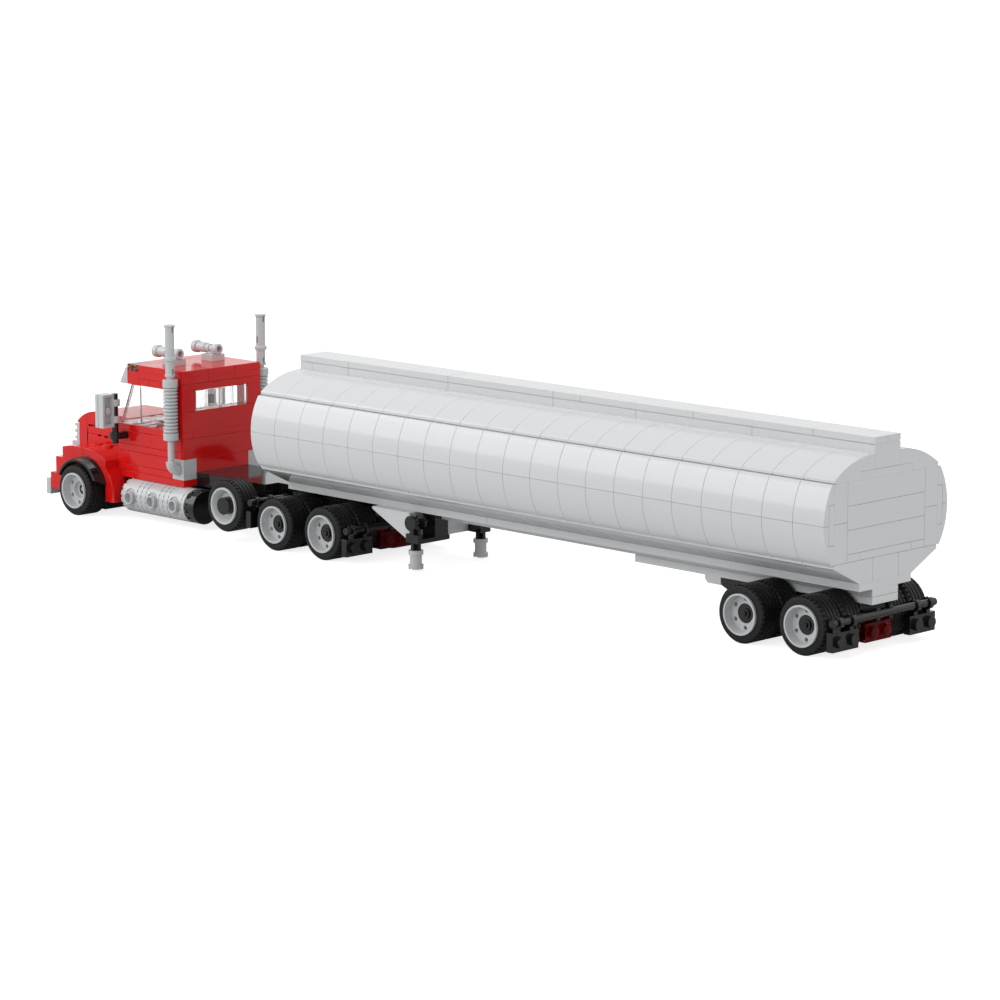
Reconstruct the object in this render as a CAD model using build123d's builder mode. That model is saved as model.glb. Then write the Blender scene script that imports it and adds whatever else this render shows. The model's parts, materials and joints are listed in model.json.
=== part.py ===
from build123d import *
import os
from math import sqrt

# Toy tanker lorry, all in millimetres. The origin is on the ground, under the
# middle of the whole model: +X is forward, +Y is the driver's side, +Z is up.
# Lengths are counted in studs, heights in plates above the frame's underside.

# Building grid and general fits
STUD = 8.0
PLATE = 3.2
STUD_R = 2.4
STUD_H = 1.8
BAR_R = 1.6
AXLE_R = 2.4
RUN_FIT = 0.06
SEAT = 0.05
TURN_GAP = 0.1

# Wheels
TYRE_R = 12.0
TYRE_W = 11.2
TYRE_TREAD_SHOULDER = 0.9
TYRE_SIDE_STEP = 0.6
TYRE_TOP_GAP = 1.6
TYRE_INSET = 1.0
RIM_R = 8.5
RIM_WALL = 0.8
RIM_W = 10.6
RIM_DISH = 4.0
RIM_WEB = 3.0
HUB_R = 4.0
HUB_NUB = 1.5
HUB_RECESS = 2.0
TWIN_PITCH = 12.0
TWIN_FACE = 33.0
LIFT_FACE = 34.8
LIFT_RISE = 4.8
LIFT_BOWL_R = 5.8
FRONT_FACE = 40.2
FRONT_PIN_INSET = 6.0
FRONT_BEAM_LOW = 2.3
FRONT_BEAM_H = 4.8
FRONT_BEAM_GAP = 1.0

# Axle places, in studs from the trailer's rear face
TRAILER_AXLES = (2.0, 6.0)
DRIVE_AXLES = (37.0, 41.0)
LIFT_AXLE = 45.0
FRONT_AXLE = 57.8
KINGPIN = 39.0
KINGPIN_R = 2.4
TONGUE_TO_KINGPIN = 2.5
DECK_STUDS = 6

# Tank, in studs and plates
TANK_STUDS = 42
CORE_HALF = 4
CORE_PLATES = 10
BELLY_HALF = 2
BELLY_PLATES = 3
SIDE_BULGE = 6.4
SLOPE_LIP = 1.6
TOP_HALF = 2
CREST_HALF = 1
CREST_PLATES = 3
TOP_SLOPE_RISE = 8.0

# Trailer frame and landing gear
FRAME_HALF = 2
KEEL_HALF = 1
KEEL_LOWER_STUDS = 16
KEEL_BLOCK_STUDS = (10.0, 11.1)
CARRIER_END = 9.94
CARRIER_DEPTH = 4.6
AXLE_BLOCK_DROP = 3.2
LEG_STUD = 31
LEG_Y = 20.0
LEG_W = 4.7
LEG_RIB = 1.8
BRACKET_L = 8.0
BRACKET_Y = 22.4
BRACKET_T = 2.0
BRACKET_POST = 8.0
BRACKET_POST_IN = 4.0
BRACKET_RIGHT_IN = 16.0
LANDING_WEDGE_L = 24.0
LANDING_WEDGE_PLATES = 4
LANDING_WEDGE_LIP = 1.1
FOOT_FLANGE_R = 3.3
FOOT_R = 2.6
FOOT_FLANGE_H = 1.9
FOOT_H = 8.3
FOOT_BASE = 1.3
FOOT_SLOT = 0.8
CRANK_R = 3.4
CRANK_W = 1.2
CRANK_DROP = 3.8
CRANK_INNER_Y = 17.6

# Bumper bar sets behind the wheels
FLAP_GAP = 0.8
FLAP_DROP = 3.8
FLAP_H = 7.8
BAR_RISE = 3.0
BAR_SETBACK = 2.6
CLIP_W = 2.2
CLIP_WALL = 0.9
CLIP_MOUTH = 0.7
LAMP_STUDS = 1

# Cab
CAB_REAR = 50
CAB_STUDS = 6
CAB_HALF = 3
CAB_WALL = 8.0
CAVITY_CORNER_R = 1.0
ROOF_STUDS = 5
SILL_PLATES = 6
WINDOW_PLATES = 6
CAB_TOP_PLATES = 2
CAB_FLOOR_PLATES = 2
WINDSCREEN_BACK = 31.0
WINDSCREEN_TOP = 37.2
WINDSCREEN_T = 1.6
SCREEN_STRIP = 7.0
VISOR_DEPTH = 5.65
VISOR_RISE = 7.8
REAR_GLASS_PLATES = 3
REAR_GLASS_T = 3.0

# Bonnet, wings and bumper
BONNET_STUDS = 4
BONNET_TOP = 20.4
BONNET_CURVE_R = 20.4
BONNET_CURVE_L = 14.2
BONNET_LIP = 0.7
BONNET_SLOT_DEPTH = 1.6
NOSE_L = 6.8
GRILLE_T = 2.0
GRILLE_H = 8.8
GRILLE_RIBS = 3
GRILLE_RIB = 1.4
GRILLE_RIB_PITCH = 3.1
LOWER_GRILLE_T = 5.8
BUMPER_T = 3.2
BUMPER_H = 7.7
BUMPER_DROP = 11.8
WING_DROP = 18.0
ARCH_GAP = 2.8
FLARE_GAP = 1.7
FLARE_T = 2.1
FLARE_W = 6.0
FLARE_TAPER = 0.9
FLARE_END = 3.6
FLARE_RAKE = 2.4
HEADLAMP_R = 3.0
HEADLAMP_T = 1.6

# Stacks, horns, mirrors and fuel tanks
STACK_X = 4.0
STACK_Y = 28.0
MUFFLER_RISE = 15.0
MUFFLER_R = 3.65
MUFFLER_CAP_H = 3.8
RIB_PITCH = 1.52
RIBS = 13
RIB_R = 3.55
RIB_ROOT_R = 2.9
PIPE_RISE = 5.8
# Stack outline above the muffler's ribs: rise over the cab's top, radius
STACK_RINGS = (
    (-3.4, 3.65),
    (-0.4, 3.65),
    (-0.4, 1.5),
    (1.0, 1.5),
    (1.0, 2.35),
    (8.2, 2.35),
    (8.2, 3.05),
    (10.2, 3.05),
    (10.2, 2.3),
    (23.7, 2.3),
    (24.3, 2.55),
    (25.2, 2.55),
    (25.2, 0),
)
HORN_Y = 12.0
STACK_BEND_R = 4.0
ELBOW_R = 2.6
HORN_RISE = 5.6
HORN_AHEAD = 2 * STUD
# Horn outline from the open rear end to the bell: distance forward, radius
HORN_RINGS = (
    (-0.5, 2.4),
    (2.0, 2.4),
    (2.6, 2.0),
    (10.2, 2.15),
    (10.4, 2.45),
    (15.8, 2.55),
    (16.1, 3.05),
    (18.5, 3.05),
    (19.0, 2.75),
)
HORN_SEAT_H = 0.8
HORN_BORE_R = 1.4
MIRROR_T = 3.2
MIRROR_W = 6.8
MIRROR_H = 15.8
MIRROR_SETBACK = 6.5
MIRROR_GAP = 7.0
MIRROR_LOW = 18.2
MIRROR_BAR_L = 23.8
MIRROR_RECESS = 1.0
MIRROR_RIM = 1.2
FUEL_R = 7.9
FUEL_Y = 22.4
FUEL_AXIS = 14.4
FUEL_SECTIONS = 3
FUEL_SECTION_L = 16.0
FUEL_OVERHANG = 1
BOSS_PROUD = 1.3
BOSS_R = 3.05
BOSS_L = 2.4
BOSS_COLLAR_R = 4.05
BOSS_COLLAR_T = 1.0
BOSS_POCKET_R = 4.95
BOSS_BORE_R = 2.35
BOSS_BORE_DEPTH = 4.0
CAP_TEETH = 14
CAP_TOOTH_H = 1.0
CAP_TOOTH_W = 2.2
CAP_RING_L = 3.3
CAP_DISC_L = 3.6
FUEL_END_L = 1.3
FUEL_NOSE_L = 2.0

FRAME_Z = 2 * TYRE_R + TYRE_TOP_GAP
AXLE_Z = TYRE_R
NOSE_X = (CAB_REAR + CAB_STUDS + BONNET_STUDS) * STUD + NOSE_L + LOWER_GRILLE_T + 0.2
TAIL_X = TRAILER_AXLES[0] * STUD - TYRE_R - FLAP_GAP - PLATE - STUD_H
X0 = -(NOSE_X + TAIL_X) / 2


def X(studs):
    """Place along the model, counted in studs from the trailer's rear face."""
    return X0 + studs * STUD


def Z(plates):
    """Height counted in plates from the underside of the trailer's frame."""
    return FRAME_Z + plates * PLATE


def along_x(start):
    """Plane across the model: sketch coordinates are (Y, Z)."""
    return Plane.YZ.offset(start)


def from_side(y):
    """Plane along the model, seen so that coordinates are (X, Z); extrudes to -Y."""
    return Plane.XZ.offset(-y)


def axle_plane(x, z):
    """Half-section plane of a piece turned about Y: coordinates are (Y, radius)."""
    return Plane(origin=(x, 0, z), x_dir=(0, 1, 0), z_dir=(1, 0, 0))


def axle_axis(x, z):
    return Axis((x, 0, z), (0, 1, 0))


def post_plane(x, y):
    """Half-section plane of a piece turned about Z: coordinates are (radius, Z)."""
    return Plane(origin=(x, y, 0), x_dir=(1, 0, 0), z_dir=(0, -1, 0))


def post_axis(x, y):
    return Axis((x, y, 0), (0, 0, 1))


def save(piece, name):
    piece.part.label = name
    export_step(piece.part, f"parts/{name}.step")


os.makedirs("parts", exist_ok=True)

# ---------------------------------------------------------------- trailer tank
TANK_END = X(TANK_STUDS)
TANK_L = TANK_STUDS * STUD
CORE_Y = CORE_HALF * STUD
BELLY_Y = BELLY_HALF * STUD
CREST_Y = CREST_HALF * STUD
TOP_Y = TOP_HALF * STUD
BELLY_Z = Z(1)
CORE_Z = Z(1 + BELLY_PLATES)
CORE_TOP = CORE_Z + CORE_PLATES * PLATE
CORE_MID = (CORE_Z + CORE_TOP) / 2

with BuildPart() as tank_core:
    with BuildSketch(along_x(X(0))):
        Polygon(
            (-CORE_Y, CORE_TOP),
            (-CORE_Y, CORE_Z - SLOPE_LIP),
            (-BELLY_Y, BELLY_Z),
            (BELLY_Y, BELLY_Z),
            (CORE_Y, CORE_Z - SLOPE_LIP),
            (CORE_Y, CORE_TOP),
            align=None,
        )
    extrude(amount=TANK_L)
save(tank_core, "tank_core")

with BuildPart() as tank_sides:
    with BuildSketch(along_x(X(0))):
        with BuildLine():
            foot = (CORE_Y + SLOPE_LIP, CORE_Z)
            crown = (CORE_Y + SIDE_BULGE, CORE_MID)
            head = (CORE_Y + SLOPE_LIP, CORE_TOP)
            ThreePointArc(foot, crown, head)
            Polyline(head, (CORE_Y, CORE_TOP), (CORE_Y, CORE_Z), foot)
        make_face()
    extrude(amount=TANK_L)
    mirror(about=Plane.XZ)
save(tank_sides, "tank_sides")

with BuildPart() as tank_top_slopes:
    lip = (CORE_Y, CORE_TOP + SLOPE_LIP)
    crest = (CREST_Y, CORE_TOP + SLOPE_LIP + TOP_SLOPE_RISE)
    with BuildSketch(along_x(X(0))):
        with BuildLine():
            TangentArc(crest, lip, tangent=(1, 0))
            Polyline(
                lip,
                (CORE_Y, CORE_TOP),
                (TOP_Y, CORE_TOP),
                (TOP_Y, CORE_TOP + PLATE),
                (CREST_Y, CORE_TOP + PLATE),
                crest,
            )
        make_face()
    extrude(amount=TANK_L)
    mirror(about=Plane.XZ)
save(tank_top_slopes, "tank_top_slopes")

RISER_Z = CORE_TOP + PLATE
WALK_Z = RISER_Z + CREST_PLATES * PLATE
with BuildPart() as catwalk_riser:
    with BuildSketch(along_x(X(0))):
        with Locations((0, CORE_TOP + PLATE / 2)):
            Rectangle(2 * TOP_Y, PLATE)
        with Locations((0, (RISER_Z + WALK_Z) / 2)):
            Rectangle(2 * CREST_Y, WALK_Z - RISER_Z)
    extrude(amount=TANK_L)
save(catwalk_riser, "catwalk_riser")

TILE_GROOVE = 0.4
with BuildPart() as catwalk_tiles:
    with BuildSketch(along_x(X(0))):
        with Locations((0, WALK_Z + PLATE / 2)):
            Rectangle(2 * CREST_Y, PLATE)
        with Locations((CREST_Y, WALK_Z), (-CREST_Y, WALK_Z)):
            Rectangle(2 * TILE_GROOVE, 2 * TILE_GROOVE, mode=Mode.SUBTRACT)
    extrude(amount=TANK_L)
save(catwalk_tiles, "catwalk_tiles")

# --------------------------------------------------------------- trailer frame
FRAME_Y = FRAME_HALF * STUD
KEEL_Y = KEEL_HALF * STUD
BLOCK_START = X(KEEL_BLOCK_STUDS[0])
BLOCK_END = X(KEEL_BLOCK_STUDS[1])
with BuildPart() as trailer_frame:
    with BuildSketch(along_x(X(0))):
        with Locations((0, Z(0.5))):
            Rectangle(2 * FRAME_Y, PLATE)
    extrude(amount=TANK_L)
save(trailer_frame, "trailer_frame")

with BuildPart() as kingpin:
    with BuildSketch(Plane.XY.offset(Z(0))):
        with Locations((X(KINGPIN), 0)):
            Circle(KINGPIN_R)
    extrude(amount=-PLATE)
save(kingpin, "kingpin")

# The keel plates and the landing gear's inverted slope at their front end.
LEG_X = X(LEG_STUD)
BRACKET_LOW = Z(-LANDING_WEDGE_PLATES)
WEDGE_START = LEG_X + BRACKET_L / 2
WEDGE_END = WEDGE_START + LANDING_WEDGE_L
with BuildPart() as trailer_keel:
    with BuildSketch(from_side(KEEL_Y)):
        Polygon(
            (X(0), Z(0)),
            (WEDGE_START, Z(0)),
            (WEDGE_START, Z(-1)),
            (X(KEEL_LOWER_STUDS), Z(-1)),
            (X(KEEL_LOWER_STUDS), Z(-2)),
            (BLOCK_END, Z(-2)),
            (BLOCK_END, Z(-2.5)),
            (BLOCK_END - PLATE / 2, Z(-3)),
            (BLOCK_START, Z(-3)),
            (BLOCK_START, Z(-2)),
            (X(0), Z(-2)),
            align=None,
        )
    extrude(amount=2 * KEEL_Y)
    with BuildSketch(from_side(LEG_Y)):
        Polygon(
            (WEDGE_START, Z(0)),
            (WEDGE_START, BRACKET_LOW),
            (WEDGE_END, Z(0) - LANDING_WEDGE_LIP),
            (WEDGE_END, Z(0)),
            align=None,
        )
    extrude(amount=2 * LEG_Y)
save(trailer_keel, "trailer_keel")


def bored_profile(points, bores, bore_r):
    """A straight-edged side profile with round holes for the axles."""
    Polygon(*points, align=None)
    with Locations(*bores):
        Circle(bore_r, mode=Mode.SUBTRACT)


# ---------------------------------------------------------------- landing gear
FOOT_TOP = FOOT_BASE + FOOT_H
CRANK_Z = Z(0) - CRANK_DROP
POST_OUT = BRACKET_POST_IN + BRACKET_POST
with BuildPart() as landing_bracket:
    with BuildSketch(along_x(LEG_X - BRACKET_L / 2)):
        Polygon(
            (BRACKET_POST_IN, BRACKET_LOW),
            (BRACKET_Y, BRACKET_LOW),
            (BRACKET_Y, BRACKET_LOW + 2 * BRACKET_T),
            (BRACKET_Y - BRACKET_T, BRACKET_LOW + 2 * BRACKET_T),
            (BRACKET_Y - BRACKET_T, BRACKET_LOW + BRACKET_T),
            (POST_OUT, BRACKET_LOW + BRACKET_T),
            (POST_OUT, Z(0)),
            (KEEL_Y, Z(0)),
            (KEEL_Y, Z(-1)),
            (BRACKET_POST_IN, Z(-1)),
            align=None,
        )
        with Locations(((-BRACKET_Y - BRACKET_RIGHT_IN) / 2, BRACKET_LOW + PLATE / 2)):
            Rectangle(BRACKET_Y - BRACKET_RIGHT_IN, PLATE)
    extrude(amount=BRACKET_L)
    with BuildSketch(Plane.XY.offset(FOOT_TOP)):
        with Locations((LEG_X, LEG_Y), (LEG_X, -LEG_Y)):
            Rectangle(LEG_W, LEG_RIB)
            Rectangle(LEG_RIB, LEG_W)
    extrude(amount=CRANK_Z - CRANK_R - FOOT_TOP)
save(landing_bracket, "landing_bracket")

with BuildPart() as landing_cranks:
    for outer_y in (BRACKET_Y + CRANK_W, CRANK_INNER_Y):
        with BuildSketch(from_side(outer_y)):
            with Locations((LEG_X, CRANK_Z)):
                Circle(CRANK_R)
        extrude(amount=CRANK_W)
    with BuildSketch(from_side(BRACKET_Y)):
        with Locations((LEG_X, CRANK_Z)):
            Circle(BAR_R)
    extrude(amount=BRACKET_Y - POST_OUT)
    with BuildSketch(from_side(LEG_Y + LEG_W / 2)):
        with Locations((LEG_X, CRANK_Z - CRANK_R / 2)):
            Rectangle(BAR_R, CRANK_R)
    extrude(amount=LEG_W)
    mirror(about=Plane.XZ)
save(landing_cranks, "landing_cranks")

with BuildPart() as landing_feet:
    with BuildSketch(post_plane(LEG_X, LEG_Y)):
        Polygon(
            (0, FOOT_BASE),
            (FOOT_FLANGE_R, FOOT_BASE),
            (FOOT_FLANGE_R, FOOT_BASE + FOOT_FLANGE_H),
            (FOOT_R, FOOT_BASE + FOOT_FLANGE_H),
            (FOOT_R, FOOT_TOP - FOOT_FLANGE_H),
            (FOOT_FLANGE_R, FOOT_TOP - FOOT_FLANGE_H),
            (FOOT_FLANGE_R, FOOT_TOP),
            (0, FOOT_TOP),
            align=None,
        )
    revolve(axis=post_axis(LEG_X, LEG_Y))
    with BuildSketch(from_side(LEG_Y + FOOT_FLANGE_R)):
        with Locations((LEG_X, FOOT_BASE)):
            Rectangle(2 * FOOT_SLOT, FOOT_SLOT)
    extrude(amount=2 * FOOT_FLANGE_R, mode=Mode.SUBTRACT)
    mirror(about=Plane.XZ)
save(landing_feet, "landing_feet")

# ------------------------------------------- bumper bars, flaps and tail lamps
BAR_HALF = CORE_Y
CLIP_R = BAR_R + SEAT + CLIP_WALL
LAMP_HALF = LAMP_STUDS * STUD


def bar_set_places(axle_x, axle_z):
    """Named places of one bar set, measured from the axle that it stands behind."""
    face = axle_x - TYRE_R - FLAP_GAP
    return {
        "face": face,
        "bar_x": face - BAR_SETBACK,
        "bar_z": axle_z + BAR_RISE,
        "top": axle_z + BAR_RISE - FLAP_DROP,
        "low": axle_z + BAR_RISE - FLAP_DROP - FLAP_H,
    }


def bumper_bar(place):
    with BuildPart() as bar:
        with BuildSketch(from_side(BAR_HALF)):
            with Locations((place["bar_x"], place["bar_z"])):
                Circle(BAR_R)
        extrude(amount=2 * BAR_HALF)
    return bar.part


def flap_pair(place, studs_out):
    """Two clip plates that hang from the bar, with studs to the rear."""
    top = place["top"]
    front = place["face"]
    middle = (place["top"] + place["low"]) / 2
    with BuildPart() as flaps:
        with BuildSketch(from_side(CORE_Y)):
            with Locations((front - PLATE / 2, middle)):
                Rectangle(PLATE, FLAP_H)
        extrude(amount=2 * STUD)
        for y in (CORE_Y - 1.5 * STUD, CORE_Y - 0.5 * STUD):
            with BuildSketch(from_side(y + CLIP_W / 2)):
                with Locations((place["bar_x"], place["bar_z"])):
                    Circle(CLIP_R)
                with Locations((front - PLATE / 2, (top + place["bar_z"]) / 2)):
                    Rectangle(PLATE * 0.8, place["bar_z"] - top)
                with Locations((place["bar_x"], place["bar_z"])):
                    Circle(BAR_R + SEAT, mode=Mode.SUBTRACT)
                with Locations((place["bar_x"], place["bar_z"] + CLIP_R)):
                    Rectangle(2 * CLIP_MOUTH, 2 * CLIP_R, mode=Mode.SUBTRACT)
            extrude(amount=CLIP_W)
        if studs_out:
            with BuildSketch(along_x(front - PLATE)):
                with Locations(
                    (CORE_Y - 1.5 * STUD, middle), (CORE_Y - 0.5 * STUD, middle)
                ):
                    Circle(STUD_R)
            extrude(amount=-STUD_H)
        mirror(about=Plane.XZ)
    return flaps.part


def tail_lamp(place):
    middle = (place["top"] + place["low"]) / 2
    with BuildPart() as lamp:
        with BuildSketch(from_side(LAMP_HALF)):
            with Locations((place["face"] + PLATE / 2, middle)):
                Rectangle(PLATE, FLAP_H)
        extrude(amount=2 * LAMP_HALF)
        with BuildSketch(along_x(place["face"])):
            with Locations((STUD / 2, middle), (-STUD / 2, middle)):
                Circle(STUD_R)
        extrude(amount=-STUD_H)
    return lamp.part


def lamp_clip(place, back):
    """Clip plate with two open fingers that joins the bar to the beam ahead of it."""
    with BuildPart() as clip:
        with BuildSketch(from_side(LAMP_HALF)):
            with Locations(((place["face"] - CLIP_WALL + back) / 2, place["bar_z"])):
                Rectangle(back - place["face"] + CLIP_WALL, PLATE)
            with Locations((place["bar_x"], place["bar_z"])):
                Circle(BAR_R + SEAT, mode=Mode.SUBTRACT)
        extrude(amount=2 * LAMP_HALF)
        for y in (STUD / 2, -STUD / 2):
            with BuildSketch(from_side(y + CLIP_W / 2)):
                with Locations((place["bar_x"], place["bar_z"])):
                    Circle(CLIP_R)
                    Circle(BAR_R + SEAT, mode=Mode.SUBTRACT)
                with Locations((place["bar_x"] - CLIP_R, place["bar_z"])):
                    Rectangle(2 * CLIP_R - 2 * CLIP_MOUTH, 2 * CLIP_R, mode=Mode.SUBTRACT)
            extrude(amount=CLIP_W)
    return clip.part


rear_place = bar_set_places(X(TRAILER_AXLES[0]), AXLE_Z)
drive_place = bar_set_places(X(DRIVE_AXLES[0]), AXLE_Z)
lift_place = bar_set_places(X(LIFT_AXLE), AXLE_Z + LIFT_RISE)
CARRIER_START = rear_place["face"] + PLATE
CHASSIS_START = drive_place["face"] + PLATE
LIFT_CLIP_END = lift_place["face"] + PLATE / 2
with BuildPart() as trailer_bar:
    add(bumper_bar(rear_place))
save(trailer_bar, "trailer_bar")
with BuildPart() as trailer_flaps:
    add(flap_pair(rear_place, True))
    add(lamp_clip(rear_place, CARRIER_START))
save(trailer_flaps, "trailer_flaps")
with BuildPart() as trailer_lamp:
    add(tail_lamp(rear_place))
save(trailer_lamp, "trailer_lamp")
with BuildPart() as tractor_bars:
    add(bumper_bar(drive_place))
    add(bumper_bar(lift_place))
save(tractor_bars, "tractor_bars")
with BuildPart() as tractor_flaps:
    add(flap_pair(drive_place, True))
    add(flap_pair(lift_place, False))
    add(lamp_clip(drive_place, CHASSIS_START))
    add(lamp_clip(lift_place, LIFT_CLIP_END))
save(tractor_flaps, "tractor_flaps")
with BuildPart() as tractor_lamp:
    add(tail_lamp(drive_place))
save(tractor_lamp, "tractor_lamp")

CARRIER_TOP = Z(-2)
CARRIER_LOW = CARRIER_TOP - CARRIER_DEPTH
AXLE_BLOCK_LOW = AXLE_Z - AXLE_R - AXLE_BLOCK_DROP / 2
trailer_bores = [(X(n), AXLE_Z) for n in TRAILER_AXLES]
with BuildPart() as trailer_axle_carrier:
    with BuildSketch(from_side(KEEL_Y)):
        bored_profile(
            (
                (CARRIER_START, CARRIER_TOP),
                (CARRIER_START, rear_place["low"]),
                (CARRIER_START + PLATE, rear_place["low"]),
                (CARRIER_START + PLATE, AXLE_BLOCK_LOW),
                (X(TRAILER_AXLES[1]) + STUD, AXLE_BLOCK_LOW),
                (X(TRAILER_AXLES[1]) + STUD + PLATE, CARRIER_LOW),
                (X(CARRIER_END) - PLATE, CARRIER_LOW),
                (X(CARRIER_END), CARRIER_TOP - PLATE),
                (X(CARRIER_END), CARRIER_TOP),
            ),
            trailer_bores,
            AXLE_R + RUN_FIT,
        )
    extrude(amount=2 * KEEL_Y)
save(trailer_axle_carrier, "trailer_axle_carrier")

# --------------------------------------------------------------------- wheels
def tyre_solid(x, z, face, out):
    """One tyre, from its outer face inwards; out is +1 on the driver's side."""
    a = face - TYRE_INSET
    b = a - TYRE_W
    bore = RIM_R + SEAT
    side = TYRE_R - TYRE_SIDE_STEP
    with BuildPart() as tyre:
        with BuildSketch(axle_plane(x, z)):
            Polygon(
                (out * a, bore),
                (out * a, side),
                (out * (a - TYRE_TREAD_SHOULDER), TYRE_R),
                (out * (b + TYRE_TREAD_SHOULDER), TYRE_R),
                (out * b, side),
                (out * b, bore),
                align=None,
            )
        revolve(axis=axle_axis(x, z))
    return tyre.part


HUB_BORE = HUB_R + SEAT


def rim_solid(x, z, face, out, hub_r, reverse=False):
    """One rim: a dished web between two wells; a free hub has a deeper recess."""
    deep = RIM_W - RIM_DISH - RIM_WEB
    front = deep if reverse else RIM_DISH
    web = face - front
    end = face - RIM_W
    inner = RIM_R - RIM_WALL
    bowl = LIFT_BOWL_R if reverse else inner - RIM_WALL / 2
    recess = HUB_RECESS if hub_r < HUB_R else 0
    with BuildPart() as rim:
        with BuildSketch(axle_plane(x, z)):
            Polygon(
                (out * face, RIM_R),
                (out * face, inner),
                (out * web, bowl),
                (out * web, HUB_BORE),
                (out * (web - recess), HUB_BORE - recess / 4),
                (out * (web - recess), hub_r),
                (out * (web - RIM_WEB), hub_r),
                (out * (web - RIM_WEB), inner - RIM_WALL / 2),
                (out * end, inner),
                (out * end, RIM_R),
                align=None,
            )
        revolve(axis=axle_axis(x, z))
    return rim.part


def wheel_group(name, wheels):
    """Tyres and rims of one axle, each in its own node."""
    with BuildPart() as tyres:
        for x, z, face, out, hub_r, reverse in wheels:
            add(tyre_solid(x, z, face, out))
    save(tyres, f"{name}_tyres")
    with BuildPart() as rims:
        for x, z, face, out, hub_r, reverse in wheels:
            add(rim_solid(x, z, face, out, hub_r, reverse))
    save(rims, f"{name}_rims")


def axle_shaft(name, x, z, collars, half, nub):
    """Through shaft with a collar in each rim; collars are (outer, inner) places."""
    with BuildPart() as shaft:
        with BuildSketch(from_side(half)):
            with Locations((x, z)):
                Circle(AXLE_R)
        extrude(amount=2 * half)
        for outer, inner in collars:
            with BuildSketch(from_side(outer)):
                with Locations((x, z)):
                    Circle(HUB_R)
            extrude(amount=outer - inner)
        if nub:
            with BuildSketch(from_side(half + nub)):
                with Locations((x, z)):
                    Circle(AXLE_R / 2)
            extrude(amount=2 * (half + nub))
    save(shaft, f"{name}_axle")


for name, stud in (
    ("trailer_rear", TRAILER_AXLES[0]),
    ("trailer_front", TRAILER_AXLES[1]),
    ("drive_rear", DRIVE_AXLES[0]),
    ("drive_front", DRIVE_AXLES[1]),
):
    faces = (TWIN_FACE, TWIN_FACE - TWIN_PITCH)
    wheel_group(
        name,
        [
            (X(stud), AXLE_Z, face, out, HUB_BORE, False)
            for face in faces
            for out in (1, -1)
        ],
    )
    collars = []
    for face in faces:
        hub_face = face - RIM_DISH
        collars.append((hub_face, hub_face - RIM_WEB))
        collars.append((-hub_face + RIM_WEB, -hub_face))
    hub_end = TWIN_FACE - RIM_DISH + HUB_NUB / 2
    axle_shaft(name, X(stud), AXLE_Z, collars, hub_end, HUB_NUB / 2)

LIFT_Z = AXLE_Z + LIFT_RISE
wheel_group(
    "lift",
    [(X(LIFT_AXLE), LIFT_Z, LIFT_FACE, out, HUB_BORE, True) for out in (1, -1)],
)
axle_shaft(
    "lift",
    X(LIFT_AXLE),
    LIFT_Z,
    [
        (LIFT_FACE, LIFT_FACE - RIM_W + RIM_DISH),
        (-LIFT_FACE + RIM_W - RIM_DISH, -LIFT_FACE),
    ],
    LIFT_FACE - HUB_NUB,
    0,
)

FRONT_X = X(FRONT_AXLE)
for side_name, out in (("left", 1), ("right", -1)):
    wheel_group(
        f"front_{side_name}",
        [(FRONT_X, AXLE_Z, FRONT_FACE, out, AXLE_R + RUN_FIT, False)],
    )

# ------------------------------------------------------------ tractor chassis
CAB_X = X(CAB_REAR)
CAB_FRONT = X(CAB_REAR + CAB_STUDS)
BONNET_FRONT = CAB_FRONT + BONNET_STUDS * STUD
DECK_TOP = Z(0) - TURN_GAP
DECK_LOW = Z(-1)
DECK_START = X(CAB_REAR - DECK_STUDS)
TONGUE_START = X(KINGPIN - TONGUE_TO_KINGPIN)
with BuildPart() as deck:
    with BuildSketch(Plane.XY.offset(DECK_LOW)):
        Polygon(
            (TONGUE_START, KEEL_Y),
            (DECK_START, KEEL_Y),
            (DECK_START, FRAME_Y),
            (CAB_X, FRAME_Y),
            (CAB_X, -FRAME_Y),
            (DECK_START, -FRAME_Y),
            (DECK_START, -KEEL_Y),
            (TONGUE_START, -KEEL_Y),
            align=None,
        )
        with Locations((X(KINGPIN), 0)):
            Circle(KINGPIN_R + RUN_FIT, mode=Mode.SUBTRACT)
    extrude(amount=DECK_TOP - DECK_LOW)
save(deck, "deck")

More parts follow.
